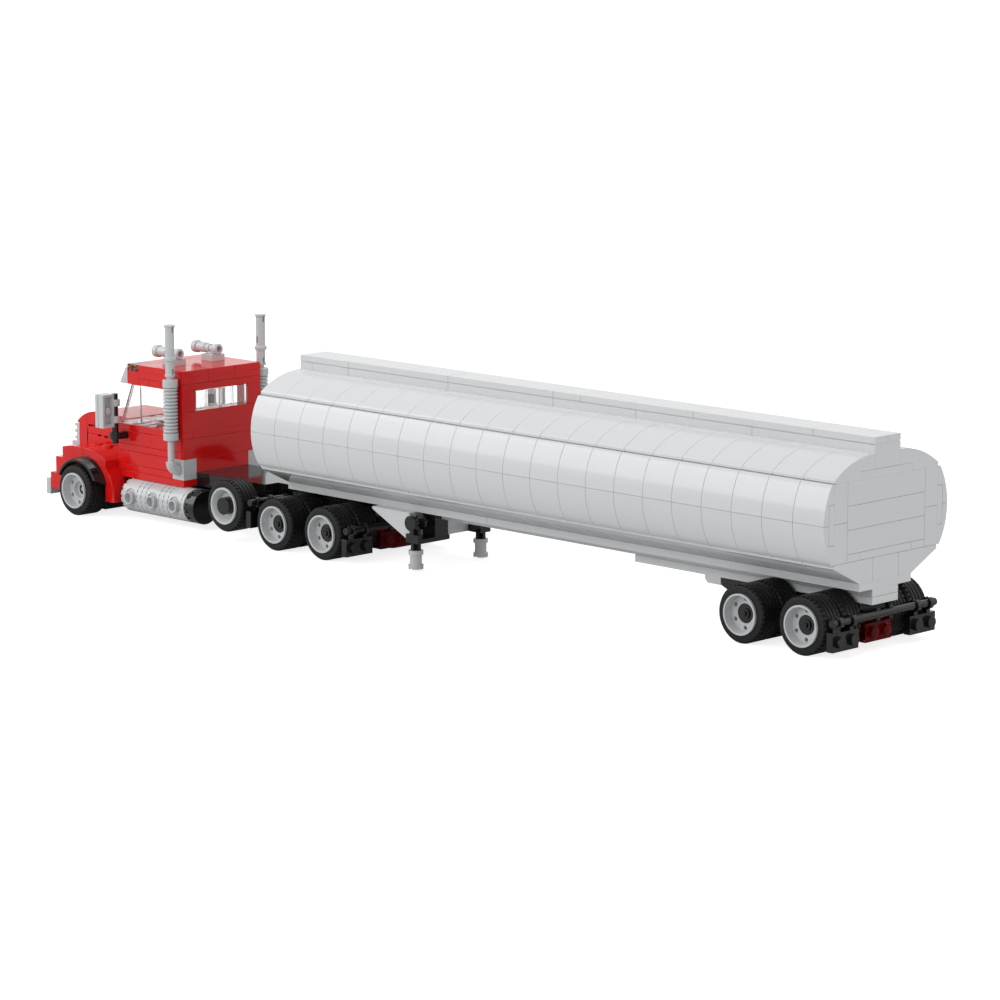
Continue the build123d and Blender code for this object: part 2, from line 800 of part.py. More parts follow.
CHASSIS_TOP = Z(-1)
CHASSIS_LOW = Z(-3)
LIFT_BLOCK_LOW = LIFT_Z - AXLE_R - AXLE_BLOCK_DROP / 2
chassis_bores = [(X(n), AXLE_Z) for n in DRIVE_AXLES]
chassis_bores.append((X(LIFT_AXLE), LIFT_Z))
FRONT_BEAM_HALF = FRONT_FACE - TYRE_INSET - TYRE_W - FRONT_BEAM_GAP
with BuildPart() as chassis:
    with BuildSketch(from_side(KEEL_Y)):
        bored_profile(
            (
                (CHASSIS_START, CHASSIS_TOP),
                (CHASSIS_START, drive_place["low"]),
                (CHASSIS_START + PLATE, drive_place["low"]),
                (CHASSIS_START + PLATE, AXLE_BLOCK_LOW),
                (X(DRIVE_AXLES[1]) + STUD, AXLE_BLOCK_LOW),
                (X(DRIVE_AXLES[1]) + STUD + PLATE, CHASSIS_LOW),
                (X(LIFT_AXLE) - STUD, CHASSIS_LOW),
                (X(LIFT_AXLE) - STUD, LIFT_BLOCK_LOW),
                (X(LIFT_AXLE) + STUD, LIFT_BLOCK_LOW),
                (X(LIFT_AXLE) + STUD, CHASSIS_LOW),
                (FRONT_X - STUD, CHASSIS_LOW),
                (FRONT_X - STUD, FRONT_BEAM_LOW),
                (FRONT_X + STUD, FRONT_BEAM_LOW),
                (FRONT_X + STUD, CHASSIS_LOW),
                (BONNET_FRONT + NOSE_L, CHASSIS_LOW),
                (BONNET_FRONT + NOSE_L, Z(-2)),
                (CAB_X, Z(-2)),
                (CAB_X, CHASSIS_TOP),
            ),
            chassis_bores,
            AXLE_R + RUN_FIT,
        )
    extrude(amount=2 * KEEL_Y)
    with BuildSketch(from_side(KEEL_Y)):
        Polygon(
            (LIFT_CLIP_END, CHASSIS_TOP),
            (lift_place["bar_x"] - CLIP_R - SEAT, CHASSIS_TOP),
            (lift_place["bar_x"] - CLIP_R - SEAT, lift_place["bar_z"] - CLIP_R - SEAT),
            (LIFT_CLIP_END, lift_place["bar_z"] - CLIP_R - SEAT),
            align=None,
        )
    extrude(amount=2 * KEEL_Y, mode=Mode.SUBTRACT)
    with BuildSketch(Plane.XY.offset(Z(-2))):
        with Locations(((DECK_START + CAB_X) / 2, 0)):
            Rectangle(CAB_X - DECK_START, 2 * FRAME_Y)
    extrude(amount=CHASSIS_TOP - Z(-2))
    with BuildSketch(Plane.XY.offset(FRONT_BEAM_LOW)):
        with Locations((FRONT_X, 0)):
            Rectangle(2 * STUD, 2 * FRONT_BEAM_HALF)
    extrude(amount=FRONT_BEAM_H)
    with BuildSketch(from_side(FRONT_FACE - FRONT_PIN_INSET)):
        with Locations((FRONT_X, AXLE_Z)):
            Circle(AXLE_R)
    extrude(amount=2 * (FRONT_FACE - FRONT_PIN_INSET))
save(chassis, "chassis")

# -------------------------------------------------------------------------- cab
CAB_Y = CAB_HALF * STUD
INNER_Y = CAB_Y - CAB_WALL
SILL_Z = Z(SILL_PLATES)
HEADER_Z = SILL_Z + WINDOW_PLATES * PLATE
CAB_TOP = HEADER_Z + CAB_TOP_PLATES * PLATE
CAB_LOW = Z(-2)
CAB_FLOOR = CAB_LOW + CAB_FLOOR_PLATES * PLATE
ROOF_FRONT = CAB_X + ROOF_STUDS * STUD
CORNER_LOW = Z(-1)
CORNER_TOP = Z(2)
with BuildPart() as cab_lower:
    with BuildSketch(Plane.XY.offset(CAB_LOW)):
        with Locations(((CAB_X + CAB_FRONT) / 2, 0)):
            Rectangle(CAB_FRONT - CAB_X, 2 * CAB_Y)
    extrude(amount=SILL_Z - CAB_LOW)
    with BuildSketch(Plane.XY.offset(CAB_FLOOR)):
        with Locations(((CAB_X + CAB_FRONT) / 2, 0)):
            RectangleRounded(CAB_FRONT - CAB_X - 2 * CAB_WALL, 2 * INNER_Y, CAVITY_CORNER_R)
    extrude(amount=SILL_Z - CAB_FLOOR, mode=Mode.SUBTRACT)
    with BuildSketch(Plane.XY.offset(CORNER_LOW)):
        with Locations(
            (CAB_X + STUD / 2, CAB_Y - STUD / 2), (CAB_X + STUD / 2, STUD / 2 - CAB_Y)
        ):
            Rectangle(STUD, STUD)
    extrude(amount=CORNER_TOP - CORNER_LOW, mode=Mode.SUBTRACT)
save(cab_lower, "cab_lower")

ELBOW_Z = Z(0) + 1.6
GLASS_LOW = HEADER_Z - REAR_GLASS_PLATES * PLATE
with BuildPart() as cab_back:
    with BuildSketch(along_x(CAB_X)):
        with Locations((0, (SILL_Z + HEADER_Z) / 2)):
            Rectangle(2 * CAB_Y, HEADER_Z - SILL_Z)
        with Locations((0, (GLASS_LOW + HEADER_Z) / 2)):
            Rectangle(2 * INNER_Y, HEADER_Z - GLASS_LOW, mode=Mode.SUBTRACT)
    extrude(amount=CAB_WALL)
save(cab_back, "cab_back")

with BuildPart() as rear_window:
    with BuildSketch(along_x(CAB_X + 1.0)):
        with Locations((0, (GLASS_LOW + HEADER_Z) / 2)):
            Rectangle(2 * INNER_Y, HEADER_Z - GLASS_LOW)
    extrude(amount=REAR_GLASS_T)
save(rear_window, "rear_window")

with BuildPart() as cab_header:
    with BuildSketch(Plane.XY.offset(HEADER_Z)):
        with Locations(((CAB_X + ROOF_FRONT) / 2, 0)):
            Rectangle(ROOF_FRONT - CAB_X, 2 * CAB_Y)
            Rectangle(ROOF_FRONT - CAB_X - 2 * CAB_WALL, 2 * INNER_Y, mode=Mode.SUBTRACT)
    extrude(amount=CAB_TOP - HEADER_Z)
save(cab_header, "cab_header")

with BuildPart() as cab_roof:
    with BuildSketch(Plane.XY.offset(CAB_TOP)):
        with Locations(((CAB_X + ROOF_FRONT) / 2, 0)):
            Rectangle(ROOF_FRONT - CAB_X, 2 * CAB_Y)
        with Locations((ROOF_FRONT - STUD / 2, CAB_Y - STUD / 2)):
            Rectangle(STUD, STUD, mode=Mode.SUBTRACT)
    extrude(amount=PLATE)
save(cab_roof, "cab_roof")

with BuildPart() as marker_tile:
    with BuildSketch(Plane.XY.offset(CAB_TOP)):
        with Locations((ROOF_FRONT - STUD / 2, CAB_Y - STUD / 2)):
            Rectangle(STUD, STUD)
    extrude(amount=PLATE)
save(marker_tile, "marker_tile")

VISOR_LOW = HEADER_Z
with BuildPart() as visor:
    with BuildSketch(from_side(CAB_Y)):
        with BuildLine():
            Polyline(
                (ROOF_FRONT, VISOR_LOW + VISOR_RISE),
                (ROOF_FRONT, VISOR_LOW),
                (ROOF_FRONT + VISOR_DEPTH, VISOR_LOW),
                (ROOF_FRONT + VISOR_DEPTH - 0.6, VISOR_LOW + 1.2),
                (ROOF_FRONT + 1.2, VISOR_LOW + VISOR_RISE),
                (ROOF_FRONT, VISOR_LOW + VISOR_RISE),
            )
        make_face()
    extrude(amount=2 * CAB_Y)
save(visor, "visor")

SCREEN_BACK = CAB_X + WINDSCREEN_BACK
SCREEN_FOOT = CAB_FRONT - 2.4
SCREEN_HEAD = CAB_X + WINDSCREEN_TOP
with BuildPart() as windscreen:
    with BuildSketch(from_side(CAB_Y)):
        Polygon(
            (SCREEN_BACK, SILL_Z),
            (SCREEN_FOOT, SILL_Z),
            (SCREEN_HEAD, HEADER_Z),
            (SCREEN_BACK, HEADER_Z),
            align=None,
        )
    extrude(amount=2 * CAB_Y)
    with BuildSketch(from_side(CAB_Y - WINDSCREEN_T)):
        Polygon(
            (SCREEN_BACK, SILL_Z + WINDSCREEN_T),
            (SCREEN_FOOT - WINDSCREEN_T * 1.6, SILL_Z + WINDSCREEN_T),
            (SCREEN_HEAD - WINDSCREEN_T, HEADER_Z),
            (SCREEN_BACK, HEADER_Z),
            align=None,
        )
    extrude(amount=2 * (CAB_Y - WINDSCREEN_T), mode=Mode.SUBTRACT)
    with BuildSketch(Plane.XY.offset(SILL_Z)):
        for y in (CAB_Y - STUD / 2, STUD / 2 - CAB_Y):
            with Locations((SCREEN_BACK - SCREEN_STRIP / 2, y)):
                Rectangle(SCREEN_STRIP, STUD)
    extrude(amount=WINDSCREEN_T)
save(windscreen, "windscreen")

# ------------------------------------------------------- bonnet and the front
BONNET_Z = Z(0) + BONNET_TOP
BONNET_Y = FRAME_Y
CURVE_START = BONNET_FRONT + 8.2 - BONNET_CURVE_L
CURVE_END_Z = BONNET_Z - (BONNET_CURVE_R - sqrt(BONNET_CURVE_R**2 - BONNET_CURVE_L**2))
TIP_X = CURVE_START + BONNET_CURVE_L
TIP_Z = CURVE_END_Z - BONNET_LIP
NOSE_FRONT = BONNET_FRONT + NOSE_L
with BuildPart() as bonnet:
    with BuildSketch(from_side(BONNET_Y)):
        with BuildLine():
            Polyline(
                (TIP_X, CURVE_END_Z),
                (TIP_X, TIP_Z),
                (NOSE_FRONT, TIP_Z),
                (NOSE_FRONT, Z(-2)),
                (CAB_FRONT, Z(-2)),
                (CAB_FRONT, BONNET_Z),
                (CURVE_START, BONNET_Z),
            )
            TangentArc((CURVE_START, BONNET_Z), (TIP_X, CURVE_END_Z), tangent=(1, 0))
        make_face()
    extrude(amount=2 * BONNET_Y)
    # side slots: (behind the bonnet front, above the frame, length, height)
    for back, height, length, tall in (
        (2.7, 13.4, 5.4, 1.0),
        (8.4, 9.1, 2.7, 1.0),
        (13.4, 8.9, 3.0, 1.0),
        (18.6, 8.5, 1.6, 1.0),
        (19.4, 5.2, 1.6, 1.4),
    ):
        for y in (BONNET_Y, BONNET_SLOT_DEPTH - BONNET_Y):
            with BuildSketch(from_side(y)):
                with Locations((BONNET_FRONT - back, Z(0) + height)):
                    Rectangle(length, tall)
            extrude(amount=BONNET_SLOT_DEPTH, mode=Mode.SUBTRACT)
save(bonnet, "bonnet")

GRILLE_TOP = TIP_Z - 0.6
with BuildPart() as grille:
    with BuildSketch(from_side(BONNET_Y)):
        Polygon(
            (NOSE_FRONT, GRILLE_TOP),
            (NOSE_FRONT + GRILLE_T, GRILLE_TOP),
            (NOSE_FRONT + GRILLE_T, GRILLE_TOP - GRILLE_H),
            (NOSE_FRONT + LOWER_GRILLE_T, GRILLE_TOP - GRILLE_H),
            (NOSE_FRONT + LOWER_GRILLE_T, Z(0) - BUMPER_DROP),
            (NOSE_FRONT, Z(0) - BUMPER_DROP),
            align=None,
        )
        for n in range(GRILLE_RIBS):
            rib_z = GRILLE_TOP - GRILLE_RIB / 2 - n * GRILLE_RIB_PITCH
            with Locations((NOSE_FRONT + GRILLE_T + GRILLE_RIB / 2, rib_z)):
                Rectangle(GRILLE_RIB, GRILLE_RIB)
    extrude(amount=2 * BONNET_Y)
save(grille, "grille")

BUMPER_TOP = Z(0) - BUMPER_DROP
BUMPER_FRONT = NOSE_FRONT + LOWER_GRILLE_T + 0.2
BUMPER_HALF = CORE_Y
with BuildPart() as front_bumper:
    with BuildSketch(Plane.XY.offset(BUMPER_TOP - BUMPER_H)):
        Polygon(
            (BUMPER_FRONT, BUMPER_HALF),
            (BUMPER_FRONT - BUMPER_T, BUMPER_HALF),
            (BUMPER_FRONT - BUMPER_T, KEEL_Y),
            (NOSE_FRONT, KEEL_Y),
            (NOSE_FRONT, -KEEL_Y),
            (BUMPER_FRONT - BUMPER_T, -KEEL_Y),
            (BUMPER_FRONT - BUMPER_T, -BUMPER_HALF),
            (BUMPER_FRONT, -BUMPER_HALF),
            align=None,
        )
    extrude(amount=BUMPER_H)
save(front_bumper, "front_bumper")

# ------------------------------------------------------------ wings and flares
WING_Y = CORE_Y
WING_TOP = Z(0) + 4.8
WING_CROWN = 1.1
WING_FLAT = 13.0
WING_LOW = Z(0) - WING_DROP
STEP_TOP = Z(0) - 0.5
STEP_FRONT = BONNET_FRONT + 5.2
WING_FRONT = BONNET_FRONT + 9.4
PANEL_TOP = Z(0) - 2.1
PANEL_L = 6.3
ARCH_R = TYRE_R + ARCH_GAP
with BuildPart() as wings:
    with BuildSketch(from_side(WING_Y)):
        with BuildLine():
            Polyline(
                (CAB_FRONT, WING_LOW),
                (CAB_FRONT, Z(0) + 1.4),
            )
            ThreePointArc(
                (CAB_FRONT, Z(0) + 1.4),
                (CAB_FRONT + 6.5, Z(0) + 4.4),
                (BONNET_FRONT - WING_FLAT, WING_TOP + WING_CROWN),
            )
            ThreePointArc(
                (BONNET_FRONT - WING_FLAT, WING_TOP + WING_CROWN),
                (BONNET_FRONT - WING_FLAT / 3, WING_TOP + WING_CROWN * 0.75),
                (BONNET_FRONT, WING_TOP),
            )
            Polyline(
                (BONNET_FRONT, WING_TOP),
                (BONNET_FRONT, STEP_TOP),
                (STEP_FRONT, STEP_TOP),
                (STEP_FRONT, STEP_TOP - STUD),
                (WING_FRONT, STEP_TOP - STUD),
                (WING_FRONT, STEP_TOP - 2 * STUD + 0.3),
                (CAB_FRONT, WING_LOW),
            )
        make_face()
        with Locations((FRONT_X, AXLE_Z)):
            Circle(ARCH_R, mode=Mode.SUBTRACT)
    extrude(amount=WING_Y - BONNET_Y)
    with BuildSketch(from_side(WING_Y)):
        with BuildLine():
            ThreePointArc(
                (CAB_FRONT, PANEL_TOP),
                (CAB_FRONT - 0.73 * PANEL_L, PANEL_TOP - 5.9),
                (CAB_FRONT - PANEL_L, WING_LOW),
            )
            Polyline(
                (CAB_FRONT - PANEL_L, WING_LOW),
                (CAB_FRONT, WING_LOW),
                (CAB_FRONT, PANEL_TOP),
            )
        make_face()
    extrude(amount=WING_Y - CAB_Y)
    with BuildSketch(Plane.XY.offset(WING_TOP)):
        with Locations(
            (BONNET_FRONT - 1.5 * STUD, BONNET_Y + STUD / 2),
            (BONNET_FRONT - 2.5 * STUD, BONNET_Y + STUD / 2),
        ):
            Circle(STUD_R)
    extrude(amount=STUD_H)
    mirror(about=Plane.XZ)
save(wings, "wings")

LAMP_Y = WING_Y - STUD
with BuildPart() as headlamps:
    with BuildSketch(along_x(STEP_FRONT)):
        with Locations((LAMP_Y, STEP_TOP - STUD / 2)):
            Circle(HEADLAMP_R)
    extrude(amount=HEADLAMP_T)
    chamfer(headlamps.faces().sort_by(Axis.X)[-1].edges(), HEADLAMP_T / 4)
    mirror(about=Plane.XZ)
save(headlamps, "headlamps")

FLARE_IN_R = TYRE_R + FLARE_GAP
with BuildPart() as wheel_flares:
    with BuildSketch(from_side(WING_Y)) as flare_root:
        with Locations((FRONT_X, AXLE_Z)):
            Circle(FLARE_IN_R + FLARE_T)
    with BuildSketch(from_side(WING_Y + FLARE_W)) as flare_edge:
        with Locations((FRONT_X, AXLE_Z)):
            Circle(FLARE_IN_R + FLARE_T - FLARE_TAPER)
    loft()
    with BuildSketch(from_side(WING_Y + FLARE_W)):
        with Locations((FRONT_X, AXLE_Z)):
            Circle(FLARE_IN_R)
    extrude(amount=FLARE_W, mode=Mode.SUBTRACT)
    with BuildSketch(along_x(FRONT_X - 2 * TYRE_R)):
        Polygon(
            (WING_Y, AXLE_Z - 2 * TYRE_R),
            (WING_Y, AXLE_Z + FLARE_END),
            (WING_Y + FLARE_W, AXLE_Z + FLARE_END + FLARE_RAKE),
            (WING_Y + FLARE_W, AXLE_Z - 2 * TYRE_R),
            align=None,
        )
    extrude(amount=4 * TYRE_R, mode=Mode.SUBTRACT)
    mirror(about=Plane.XZ)
save(wheel_flares, "wheel_flares")

# --------------------------------------------------------------------- stacks
STACK = CAB_X + STACK_X
STACK_BASE = Z(0) + MUFFLER_RISE
PIPE_FOOT = Z(0) + PIPE_RISE
with BuildPart() as stacks:
    with BuildSketch(post_plane(STACK, STACK_Y)):
        with BuildLine():
            rib_points = []
            for n in range(RIBS):
                rib_z = STACK_BASE + MUFFLER_CAP_H + n * RIB_PITCH
                rib_points += [(RIB_ROOT_R, rib_z), (RIB_R, rib_z + 0.4), (RIB_R, rib_z + 1.1)]
            Polyline(
                (0, PIPE_FOOT),
                (BAR_R, PIPE_FOOT),
                (BAR_R, STACK_BASE),
                (MUFFLER_R, STACK_BASE),
                (MUFFLER_R, STACK_BASE + MUFFLER_CAP_H),
                *rib_points,
                *[(radius, CAB_TOP + rise) for rise, radius in STACK_RINGS],
                (0, PIPE_FOOT),
            )
        make_face()
    revolve(axis=post_axis(STACK, STACK_Y))
    mirror(about=Plane.XZ)
save(stacks, "stacks")

with BuildPart() as stack_elbows:
    with BuildSketch(Plane.XY.offset(CORNER_LOW)):
        with Locations((CAB_X + STUD / 2, CAB_Y - STUD / 2)):
            Rectangle(STUD, STUD)
    extrude(amount=CORNER_TOP - CORNER_LOW)
    bend_top = ELBOW_Z + STACK_BEND_R
    bend_in = STACK_Y - STACK_BEND_R
    with BuildLine():
        ThreePointArc(
            (STACK, STACK_Y, bend_top),
            (STACK, bend_in + STACK_BEND_R * 0.70711, bend_top - STACK_BEND_R * 0.70711),
            (STACK, bend_in, ELBOW_Z),
        )
    with BuildSketch(Plane.XY.offset(bend_top)):
        with Locations((STACK, STACK_Y)):
            Circle(ELBOW_R)
    sweep()
    with BuildSketch(Plane.XY.offset(bend_top)):
        with Locations((STACK, STACK_Y)):
            Circle(ELBOW_R)
    extrude(amount=PIPE_FOOT - bend_top)
    mirror(about=Plane.XZ)
save(stack_elbows, "stack_elbows")

# ---------------------------------------------------------------------- horns
HORN_Z = CAB_TOP + PLATE + HORN_RISE
HORN_X = CAB_X + HORN_AHEAD
with BuildPart() as horns:
    horn_plane = Plane(origin=(0, HORN_Y, HORN_Z), x_dir=(1, 0, 0), z_dir=(0, -1, 0))
    with BuildSketch(horn_plane):
        Polygon(
            (HORN_X + HORN_RINGS[0][0], HORN_BORE_R),
            *[(HORN_X + forward, radius) for forward, radius in HORN_RINGS],
            (HORN_X + HORN_RINGS[-1][0], 0),
            (HORN_X + HORN_RINGS[1][0], 0),
            (HORN_X + HORN_RINGS[1][0], HORN_BORE_R),
            align=None,
        )
    revolve(axis=Axis((0, HORN_Y, HORN_Z), (1, 0, 0)))
    with BuildSketch(Plane.XY.offset(CAB_TOP + PLATE)):
        with Locations((HORN_X + STUD / 2, HORN_Y)):
            Rectangle(STUD, STUD)
    extrude(amount=PLATE)
    with BuildSketch(Plane.XY.offset(CAB_TOP + 2 * PLATE)):
        with Locations((HORN_X + STUD / 2, HORN_Y)):
            Circle(STUD_R)
    extrude(amount=HORN_SEAT_H)
    mirror(about=Plane.XZ)
save(horns, "horns")

# -------------------------------------------------------------------- mirrors
MIRROR_BACK = CAB_FRONT - MIRROR_SETBACK
MIRROR_IN = CAB_Y + MIRROR_GAP
MIRROR_OUT = MIRROR_IN + MIRROR_W
MIRROR_Z = Z(0) + MIRROR_LOW
MIRROR_Y = (MIRROR_IN + MIRROR_OUT) / 2
MIRROR_BAR_X = MIRROR_BACK + BAR_R
MIRROR_BAR_Y = MIRROR_IN - BAR_R
with BuildPart() as mirrors:
    with BuildSketch(Plane.XY.offset(MIRROR_Z)):
        with Locations((MIRROR_BACK + MIRROR_T, MIRROR_Y)):
            Rectangle(2 * MIRROR_T, MIRROR_W)
    extrude(amount=MIRROR_H)
    chamfer(mirrors.faces().sort_by(Axis.X)[-1].edges(), MIRROR_RIM / 2)
    with BuildSketch(along_x(MIRROR_BACK)):
        with Locations((MIRROR_Y, MIRROR_Z + MIRROR_H / 2)):
            Rectangle(MIRROR_W - 2 * MIRROR_RIM, MIRROR_H - 2 * MIRROR_RIM)
            Circle(BAR_R, mode=Mode.SUBTRACT)
    extrude(amount=MIRROR_RECESS, mode=Mode.SUBTRACT)
    for low in (MIRROR_H / 8, MIRROR_H * 5 / 8):
        with BuildSketch(Plane.XY.offset(MIRROR_Z + low)):
            with Locations((MIRROR_BAR_X, MIRROR_BAR_Y)):
                Circle(CLIP_R)
            with Locations((MIRROR_BACK + PLATE / 2, MIRROR_IN - BAR_R / 2)):
                Rectangle(PLATE, BAR_R)
            with Locations((MIRROR_BAR_X, MIRROR_BAR_Y)):
                Circle(BAR_R + SEAT, mode=Mode.SUBTRACT)
            with Locations((MIRROR_BAR_X, MIRROR_BAR_Y - CLIP_R)):
                Rectangle(2 * CLIP_MOUTH, 2 * CLIP_R, mode=Mode.SUBTRACT)
        extrude(amount=PLATE)
    mirror(about=Plane.XZ)
save(mirrors, "mirrors")

ARM_Z = Z(4) - 0.4
with BuildPart() as mirror_bars:
    with BuildSketch(Plane.XY.offset(MIRROR_Z + MIRROR_H - MIRROR_BAR_L)):
        with Locations((MIRROR_BAR_X, MIRROR_BAR_Y)):
            Circle(BAR_R)
    extrude(amount=MIRROR_BAR_L)
    with BuildSketch(Plane.XY.offset(ARM_Z)):
        with Locations((MIRROR_BAR_X, MIRROR_BAR_Y)):
            Circle(CLIP_R)
        with Locations((MIRROR_BAR_X + CLIP_R / 2, MIRROR_BAR_Y)):
            Rectangle(CLIP_R, 2 * BAR_R)
        with Locations((MIRROR_BAR_X - BAR_R, (MIRROR_BAR_Y + CAB_Y) / 2)):
            Rectangle(PLATE, MIRROR_BAR_Y - CAB_Y)
    extrude(amount=PLATE)
    mirror(about=Plane.XZ)
save(mirror_bars, "mirror_bars")

# ----------------------------------------------------------------- fuel tanks
FUEL_Z = Z(0) - FUEL_AXIS
FUEL_BACK = CAB_X - FUEL_OVERHANG * STUD
FUEL_FRONT = FUEL_BACK + FUEL_SECTIONS * FUEL_SECTION_L
BOSS_FACE = FUEL_Y + FUEL_R + BOSS_PROUD
BOSS_POCKET_Y = BOSS_FACE - BOSS_L - BOSS_COLLAR_T
CAP_CORE_R = FUEL_R - CAP_TOOTH_H


def toothed_disc():
    """Round core with square teeth, as on the coupling ends of the tank."""
    with Locations((FUEL_Y, FUEL_Z)):
        Circle(CAP_CORE_R)
        with PolarLocations(CAP_CORE_R + CAP_TOOTH_H / 4, CAP_TEETH):
            Rectangle(CAP_TOOTH_H, CAP_TOOTH_W)


with BuildPart() as fuel_tanks:
    with BuildSketch(along_x(FUEL_BACK + FUEL_END_L)):
        with Locations((FUEL_Y, FUEL_Z)):
            Circle(FUEL_R)
    extrude(amount=FUEL_FRONT - FUEL_BACK - 2 * FUEL_END_L - FUEL_NOSE_L)
    with BuildSketch(along_x(FUEL_FRONT - FUEL_END_L)):
        toothed_disc()
    extrude(amount=-FUEL_NOSE_L)
    for n in range(FUEL_SECTIONS):
        boss_x = FUEL_BACK + n * FUEL_SECTION_L + STUD
        with BuildSketch(from_side(FUEL_Y + FUEL_R)):
            with Locations((boss_x, FUEL_Z)):
                Circle(BOSS_POCKET_R)
        extrude(amount=FUEL_Y + FUEL_R - BOSS_POCKET_Y, mode=Mode.SUBTRACT)
        for face_y, radius in (
            (BOSS_FACE, BOSS_R),
            (BOSS_FACE - BOSS_L, BOSS_COLLAR_R),
        ):
            with BuildSketch(from_side(face_y)):
                with Locations((boss_x, FUEL_Z)):
                    Circle(radius)
            extrude(amount=face_y - FUEL_Y)
        with BuildSketch(from_side(BOSS_FACE)):
            with Locations((boss_x, FUEL_Z)):
                Circle(BOSS_BORE_R)
        extrude(amount=BOSS_BORE_DEPTH, mode=Mode.SUBTRACT)
    mirror(about=Plane.XZ)
save(fuel_tanks, "fuel_tanks")

with BuildPart() as fuel_caps:
    with BuildSketch(along_x(FUEL_BACK + FUEL_END_L)):
        toothed_disc()
    extrude(amount=-CAP_RING_L)
    with BuildSketch(along_x(FUEL_BACK + FUEL_END_L - CAP_RING_L)):
        with Locations((FUEL_Y, FUEL_Z)):
            Circle(FUEL_R)
    extrude(amount=-CAP_DISC_L)
    mirror(about=Plane.XZ)
save(fuel_caps, "fuel_caps")
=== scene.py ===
"""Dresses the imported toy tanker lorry: bricks with their seams, wheels, windows and finishes."""
import json
from math import atan2, cos, hypot, pi, radians, sin

import bmesh
import bpy
from mathutils import Matrix, Vector


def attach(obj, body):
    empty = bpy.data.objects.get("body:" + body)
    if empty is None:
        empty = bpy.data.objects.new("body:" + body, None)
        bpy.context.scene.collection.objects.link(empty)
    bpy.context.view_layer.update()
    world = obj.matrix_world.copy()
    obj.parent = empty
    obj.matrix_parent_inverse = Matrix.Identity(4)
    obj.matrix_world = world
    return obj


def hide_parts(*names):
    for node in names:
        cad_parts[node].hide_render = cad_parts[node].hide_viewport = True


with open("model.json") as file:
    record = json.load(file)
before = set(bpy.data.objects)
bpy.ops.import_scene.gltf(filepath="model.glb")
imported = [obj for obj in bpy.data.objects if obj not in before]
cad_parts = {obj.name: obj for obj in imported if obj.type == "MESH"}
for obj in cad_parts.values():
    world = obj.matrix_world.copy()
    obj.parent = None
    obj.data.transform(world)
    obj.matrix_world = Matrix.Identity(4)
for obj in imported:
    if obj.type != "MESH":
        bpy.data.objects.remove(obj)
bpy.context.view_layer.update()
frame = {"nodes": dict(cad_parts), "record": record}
nodes = frame["nodes"]
home = bpy.context.scene.collection

# ---------------------------------------------------------- the grid, in mm
# Sizes are in millimetres, here and below, unless a comment says otherwise.
MM = 0.001
STUD = 8.0
PLATE = 3.2
STUD_R = 2.4
STUD_H = 1.6
TAIL = -245.5
FRAME_UNDERSIDE = 25.6
TOUCH = 0.05  # gap between pieces that meet
SIDES = (1, -1)  # left and right


def along(studs):
    """Place along the lorry, counted in studs from the trailer's rear face."""
    return TAIL + studs * STUD


def height(plates):
    """Height, counted in plates from the underside of the trailer's frame."""
    return FRAME_UNDERSIDE + plates * PLATE


def span(side, inner, outer):
    """From and to across the lorry, on one side of it."""
    return sorted((side * inner, side * outer))


# ----------------------------------------------------------------- finishes
def calculate(tree, operation, *feeds):
    """A Math node whose inputs are sockets or plain numbers, in order."""
    node = tree.nodes.new("ShaderNodeMath")
    node.operation = operation
    for place, feed in zip(node.inputs, feeds):
        if isinstance(feed, bpy.types.NodeSocket):
            tree.links.new(feed, place)
        else:
            place.default_value = feed
    return node.outputs[0]


def noise(tree, scale, detail):
    """A noise pattern that stays put on its piece."""
    place = tree.nodes.new("ShaderNodeTexCoord")
    pattern = tree.nodes.new("ShaderNodeTexNoise")
    pattern.inputs["Scale"].default_value = scale
    pattern.inputs["Detail"].default_value = detail
    tree.links.new(place.outputs["Object"], pattern.inputs["Vector"])
    return pattern.outputs["Fac"]


CLOUD_SCALE, CLOUD_DETAIL = 60.0, 3.0
SKIN_SCALE, SKIN_DETAIL = 420.0, 2.0
BUMP_STRENGTH = 0.15
BUMP_DEPTH = 0.05
PLASTIC_IOR = 1.5
CLEAR_IOR = 1.2
CLEARNESS = 0.93
MARK_SCALE, MARK_DETAIL = 800.0, 1.0
DARK_TO, YELLOW_FROM = 0.45, 0.6


